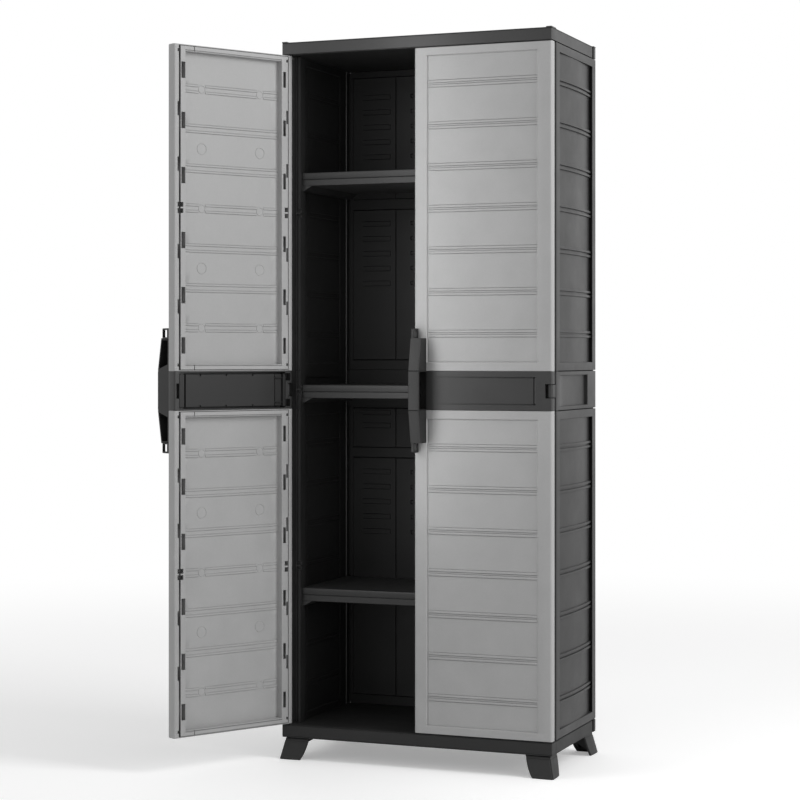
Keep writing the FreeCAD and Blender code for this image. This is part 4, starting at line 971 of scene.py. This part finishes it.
def moulding(section):
    """A flat moulding over the whole plan: a section of distances inwards and heights, carried round it.

    The plan has rounded corners, and down each side a V groove near its front and a notch near its rear,
    which fade out inwards. Moving inwards is done by scaling each half width in step with the distance.
    """
    turn = np.radians(np.linspace(0, 90, 7))
    half_x, half_y = HALF_WIDTH - CORNER_RADIUS, REAR - CORNER_RADIUS
    marks = [*(CARCASS_FRONT + np.array([-1.2, 0, 1.2])), *between_marks(*REAR_NOTCH)]
    side_y = lines(-half_y, half_y, marks, 40)
    inset = 1.1 * groove(side_y - CARCASS_FRONT, 1.2) + REAR_NOTCH_DEPTH * between(side_y, *REAR_NOTCH)
    right = joined(HALF_WIDTH, side_y, inset)
    corner = joined(half_x + CORNER_RADIUS * np.cos(turn), half_y + CORNER_RADIUS * np.sin(turn), 0)
    rear_x = lines(-half_x, half_x, gap=40)[::-1]
    rear = joined(rear_x, REAR, 0)
    flip_x, flip_y = np.array([-1, 1, 1]), np.array([1, -1, 1])
    left, front = (right * flip_x)[::-1], (rear * flip_y)[::-1]
    plan = np.concatenate([right[1:-1], corner, rear[1:-1], (corner * flip_x)[::-1], left[1:-1],
                           corner * flip_x * flip_y, front[1:-1], (corner * flip_y)[::-1]])
    inwards, height = (np.array(values)[:, None] for values in zip(*section))
    notched = np.sign(plan[:, 0]) * plan[:, 2] * (1 - rise(inwards, 5, 20))
    x = plan[:, 0] * (1 - inwards / HALF_WIDTH) - notched
    y = plan[:, 1] * (1 - inwards / REAR)
    return bar(joined(x, y, height))


STUD_HALF = 7.0
STUD_HEIGHT = 2.0


def stud(x, low, high):
    """A low stud on a corner of the cap: a block whose top has sloping edges."""
    edge = [0, 0.4, 1.0]
    a, y = grid(np.sort(both_ends(-STUD_HALF, STUD_HALF, edge)), np.sort(both_ends(low, high, edge)))
    drop = 1.0 * (1 - rise(np.minimum(STUD_HALF - np.abs(a), from_ends(y, low, high)), 0, 1.0))
    return shell(joined(x + a, y, CAP_TOP + STUD_HEIGHT - drop), joined(x + a, y, CAP_TOP - 1))


BASE_SECTION = [(30, 53), (1.3, 53), (0.4, 53.4), (0, 54.3), (0, 55.4), (0.7, 56), (0, 56.6), (0, 81.2),
                (0.7, 81.8), (0, 82.4), (0.3, 82.8), (5, 82.9), (5, 84), (30, 84)]
CAP_SECTION = [(30, 1700), (5, 1700), (5, 1701.1), (0.4, 1701.2), (0, 1701.8), (0, 1726.8), (0.8, 1727.5),
               (0, 1728.2), (0.4, 1729.2), (1.2, 1729.8), (2.2, 1730), (22, 1730), (23.4, 1728.8),
               (26, 1728.8)]
# The base and the feet take the base resin, darkened with painted shade near the ground.
piece("base_moulding", [moulding(BASE_SECTION)], shaded_base_resin, "carcass", ["base"])
cap = [moulding(CAP_SECTION)]
cap += [stud(x, *span) for x in (-334, 334) for span in ((FRONT, -145), (163, REAR))]
piece("cap_moulding", cap, frame_resin, "carcass", ["top_cap"])


# How far a foot's arms reach from their corner, by height.
FOOT_EDGE = ((0, 2, 10, 20, 32, 42, 53), (52.5, 53.5, 56.5, 58.8, 60.2, 60.5, 60.0))
# How far a foot's outer faces stand in from the cabinet's at the top, and how far they lean out on the way
# down.
FOOT_INSET = 7.0
FOOT_SPLAY = 12.0
FOOT_WALL = 7.0
FOOT_TOP = 50.4
FOOT_CORNER = 4.0
# The shallow band round a foot: its lower edge, its upper edge and the slope of both.
FOOT_BAND = (44.0, 47.9, 0.4)
# The plate on top of a foot, and its webs: their depths from the cabinet's side, and how far they run.
PLATE = (11, 11.6, 66.4, 67)
PLATE_DEPTH = 5.0
WEB = (39.0, 44.0)
WEB_END = 87.0


def foot(flip_x, flip_y):
    """A splayed foot: a wall carried round an L, its outer face leaning out and the ends of its arms curving
    in towards the floor, with a plate on top and two crossed webs.

    In plan a point of the wall is its distance along the arm and its depth from the outer face.
    """
    turn = np.radians(np.linspace(0, 90, 9))
    share = np.array([1, 0.98, 0.93, 0.8, 0.6, 0.45, 0.42, 0.25, 0.1, 0.0])
    height = np.array([FOOT_TOP, 50.0, 49.2, 47.9, 47.5, 44.4, 44.0, 38, 32, 26, 20, 14, 8, 4, 1.6, 0.6, 0.0])
    arm_end = np.interp(height, *FOOT_EDGE)
    splay = FOOT_SPLAY * (BASE_LOW - height) / BASE_LOW
    band = 0.7 * between(height, *FOOT_BAND) + rounded(height, 1.6) + rounded(FOOT_TOP - height, 1.2)
    length = FOOT_CORNER + share[:, None] * (arm_end - FOOT_CORNER)
    bend = 0.06 * np.clip(length - 27, 0, None)
    end_round = rounded(arm_end - length, 2.0)

    def placed(a, b, z):
        """Points by their distances from the cabinet's side and from its front or rear."""
        return joined(flip_x * (a - HALF_WIDTH), flip_y * (b + FRONT), z)

    def layer(depth, shaped):
        """The wall at one depth: an arm, the corner's arc with a notch down its middle, and the other arm."""
        arm = joined(length, depth + shaped * (band + bend + end_round))
        notch = shaped * (2.2 * groove(turn - math.radians(45), 0.5)[:, None] + band)
        reach = FOOT_CORNER - depth - notch
        arc = FOOT_CORNER - joined(reach * np.sin(turn)[:, None], reach * np.cos(turn)[:, None])
        plan = np.concatenate([arm[:-1], arc, arm[::-1, :, ::-1][1:]])
        return placed(FOOT_INSET - splay + plan[..., 0], FOOT_INSET - splay + plan[..., 1], height)

    a, b = grid(PLATE, PLATE)
    skins = [shell(layer(0.0, 1.0), layer(FOOT_WALL, 0.0)),
             shell(placed(a, b, BASE_LOW), placed(a, b, BASE_LOW - PLATE_DEPTH))]
    run, drop = grid(np.linspace(0, 1, 9), [0, 1.0])
    near = FOOT_INSET + 3.5 - 10 * drop * (1 - run)
    lower = 8 + 45 * np.interp(run, [0, 0.125, 0.45, 0.8, 1], [0, 0.14, 0.55, 0.9, 0.96])
    z = BASE_LOW + (lower - BASE_LOW) * drop
    reach = near + (WEB_END - near) * run
    skins.append(shell(*(placed(reach, depth, z) for depth in WEB)))
    skins.append(shell(*(placed(depth, reach, z) for depth in WEB)))
    return skins


for end, flip_y in (("front", 1), ("rear", -1)):
    for side, flip_x in (("left", 1), ("right", -1)):
        piece(f"{end}_{side}_foot", foot(flip_x, flip_y), shaded_base_resin, "carcass",
              [f"foot_{end}_{side}"])

for side in SIDES:
    for place in ("lower", "middle", "upper"):
        nodes[f"{side}_hinge_pin_{place}"].material_slots[0].material = pin_resin


# Floor, light and camera.

# Half of the floor's side, and where it starts and ends to fade to white, in metres.
FLOOR_HALF = 14
NEAR_FLOOR = 0.8
FAR_FLOOR = 4.5


def plain_floor():
    """A wide sheet of pale paper under the cabinet, which fades to the white of the backdrop far from it."""
    x, y = grid(*[np.linspace(-FLOOR_HALF, FLOOR_HALF, 3)] * 2)
    mesh = bpy.data.meshes.new("studio_floor")
    mesh.from_pydata(joined(x, y, 0).reshape(-1, 3).tolist(), [],
                     [(0, 3, 4, 1), (3, 6, 7, 4), (1, 4, 5, 2), (4, 7, 8, 5)])
    material = bpy.data.materials.new("pale_studio_paper")
    material.use_nodes = True
    tree = material.node_tree
    paper = tree.nodes["Principled BSDF"]
    paper.inputs["Base Color"].default_value = linear("#F4F4F4")
    paper.inputs["Roughness"].default_value = 0.7
    place = add(tree, "ShaderNodeTexCoord").outputs["Object"]
    away = add(tree, "ShaderNodeVectorMath", {"operation": "LENGTH"}, {0: place}).outputs["Value"]
    fade = add(tree, "ShaderNodeMapRange", {"interpolation_type": "SMOOTHSTEP", "From Min": NEAR_FLOOR,
                                            "From Max": FAR_FLOOR}, {"Value": away}).outputs["Result"]
    rays = add(tree, "ShaderNodeLightPath")
    seen = add(tree, "ShaderNodeMath", {"operation": "MAXIMUM"},
               {0: rays.outputs["Is Camera Ray"], 1: rays.outputs["Is Glossy Ray"]}).outputs["Value"]
    share = add(tree, "ShaderNodeMath", {"operation": "MULTIPLY"}, {0: fade, 1: seen}).outputs["Value"]

    def glow(to_others, to_camera):
        """White light from the floor itself, by what sees it."""
        strength = add(tree, "ShaderNodeMapRange", {"To Min": to_others, "To Max": to_camera},
                       {"Value": rays.outputs["Is Camera Ray"]})
        return add(tree, "ShaderNodeEmission", {"Color": (1, 1, 1, 1)},
                   {"Strength": strength.outputs["Result"]}).outputs["Emission"]

    # The satin surfaces see a floor a little duller than the white that the eye sees.
    white, pale = glow(0.55, 1.0), glow(0.0, 0.3)
    near = add(tree, "ShaderNodeAddShader", links={0: paper.outputs["BSDF"], 1: pale}).outputs["Shader"]
    mix = add(tree, "ShaderNodeMixShader", links={0: share, 1: near, 2: white})
    tree.links.new(mix.outputs["Shader"], tree.nodes["Material Output"].inputs["Surface"])
    mesh.materials.append(material)
    made = bpy.data.objects.new("studio_floor", mesh)
    bpy.context.scene.collection.objects.link(made)


plain_floor()


def soft_box(name, place, target, width, height, power):
    """A large soft box at a place, turned to a target and not itself in the picture."""
    lamp = bpy.data.lights.new(name, "AREA")
    lamp.shape = "RECTANGLE"
    lamp.size, lamp.size_y, lamp.energy = width, height, power
    made = bpy.data.objects.new(name, lamp)
    bpy.context.scene.collection.objects.link(made)
    made.visible_camera = False
    aim = np.array(target, float) - np.array(place, float)
    tilt = math.acos(-aim[2] / np.linalg.norm(aim))
    made.location = place
    made.rotation_euler = (tilt, 0, math.atan2(aim[1], aim[0]) - math.pi / 2)


soft_box("front_left_box", (-2.6, -3.4, 2.4), (0, 0, 1.0), 1.4, 1.8, 19)
soft_box("right_box", (3.3, -0.5, 2.0), (0, 0, 1.0), 1.4, 1.8, 44)
soft_box("right_high_box", (2.8, -0.5, 3.2), (0, 0, 1.4), 1.2, 1.2, 36)
soft_box("narrow_strip", (-0.09, -0.46, 1.22), (0.1, -0.15, 1.22), 0.12, 1.3, 1.5)

world = bpy.data.worlds.new("studio")
bpy.context.scene.world = world
world.use_nodes = True
tree = world.node_tree
tree.nodes.clear()
rays = add(tree, "ShaderNodeLightPath")
# The backdrop is white to the eye and to the satin surfaces, and a soft fill to the rest.
white = add(tree, "ShaderNodeMath", {"operation": "MAXIMUM"},
            {0: rays.outputs["Is Glossy Ray"], 1: rays.outputs["Is Camera Ray"]})
level = add(tree, "ShaderNodeMapRange", {"To Min": 0.43, "To Max": 1.0}, {"Value": white.outputs["Value"]})
sky = add(tree, "ShaderNodeBackground", {"Color": (1, 1, 1, 1)}, {"Strength": level.outputs["Result"]})
add(tree, "ShaderNodeOutputWorld", links={"Surface": sky.outputs["Background"]})

view = bpy.data.cameras.new("view")
view.lens = 93.93
view.shift_y = -0.0549
camera = bpy.data.objects.new("view", view)
camera.location = (1.7828, -4.7630, 0.9730)
camera.rotation_euler = (math.radians(90), 0, math.radians(21.6215))
bpy.context.scene.collection.objects.link(camera)
bpy.context.scene.camera = camera
bpy.context.scene.view_settings.view_transform = "Standard"
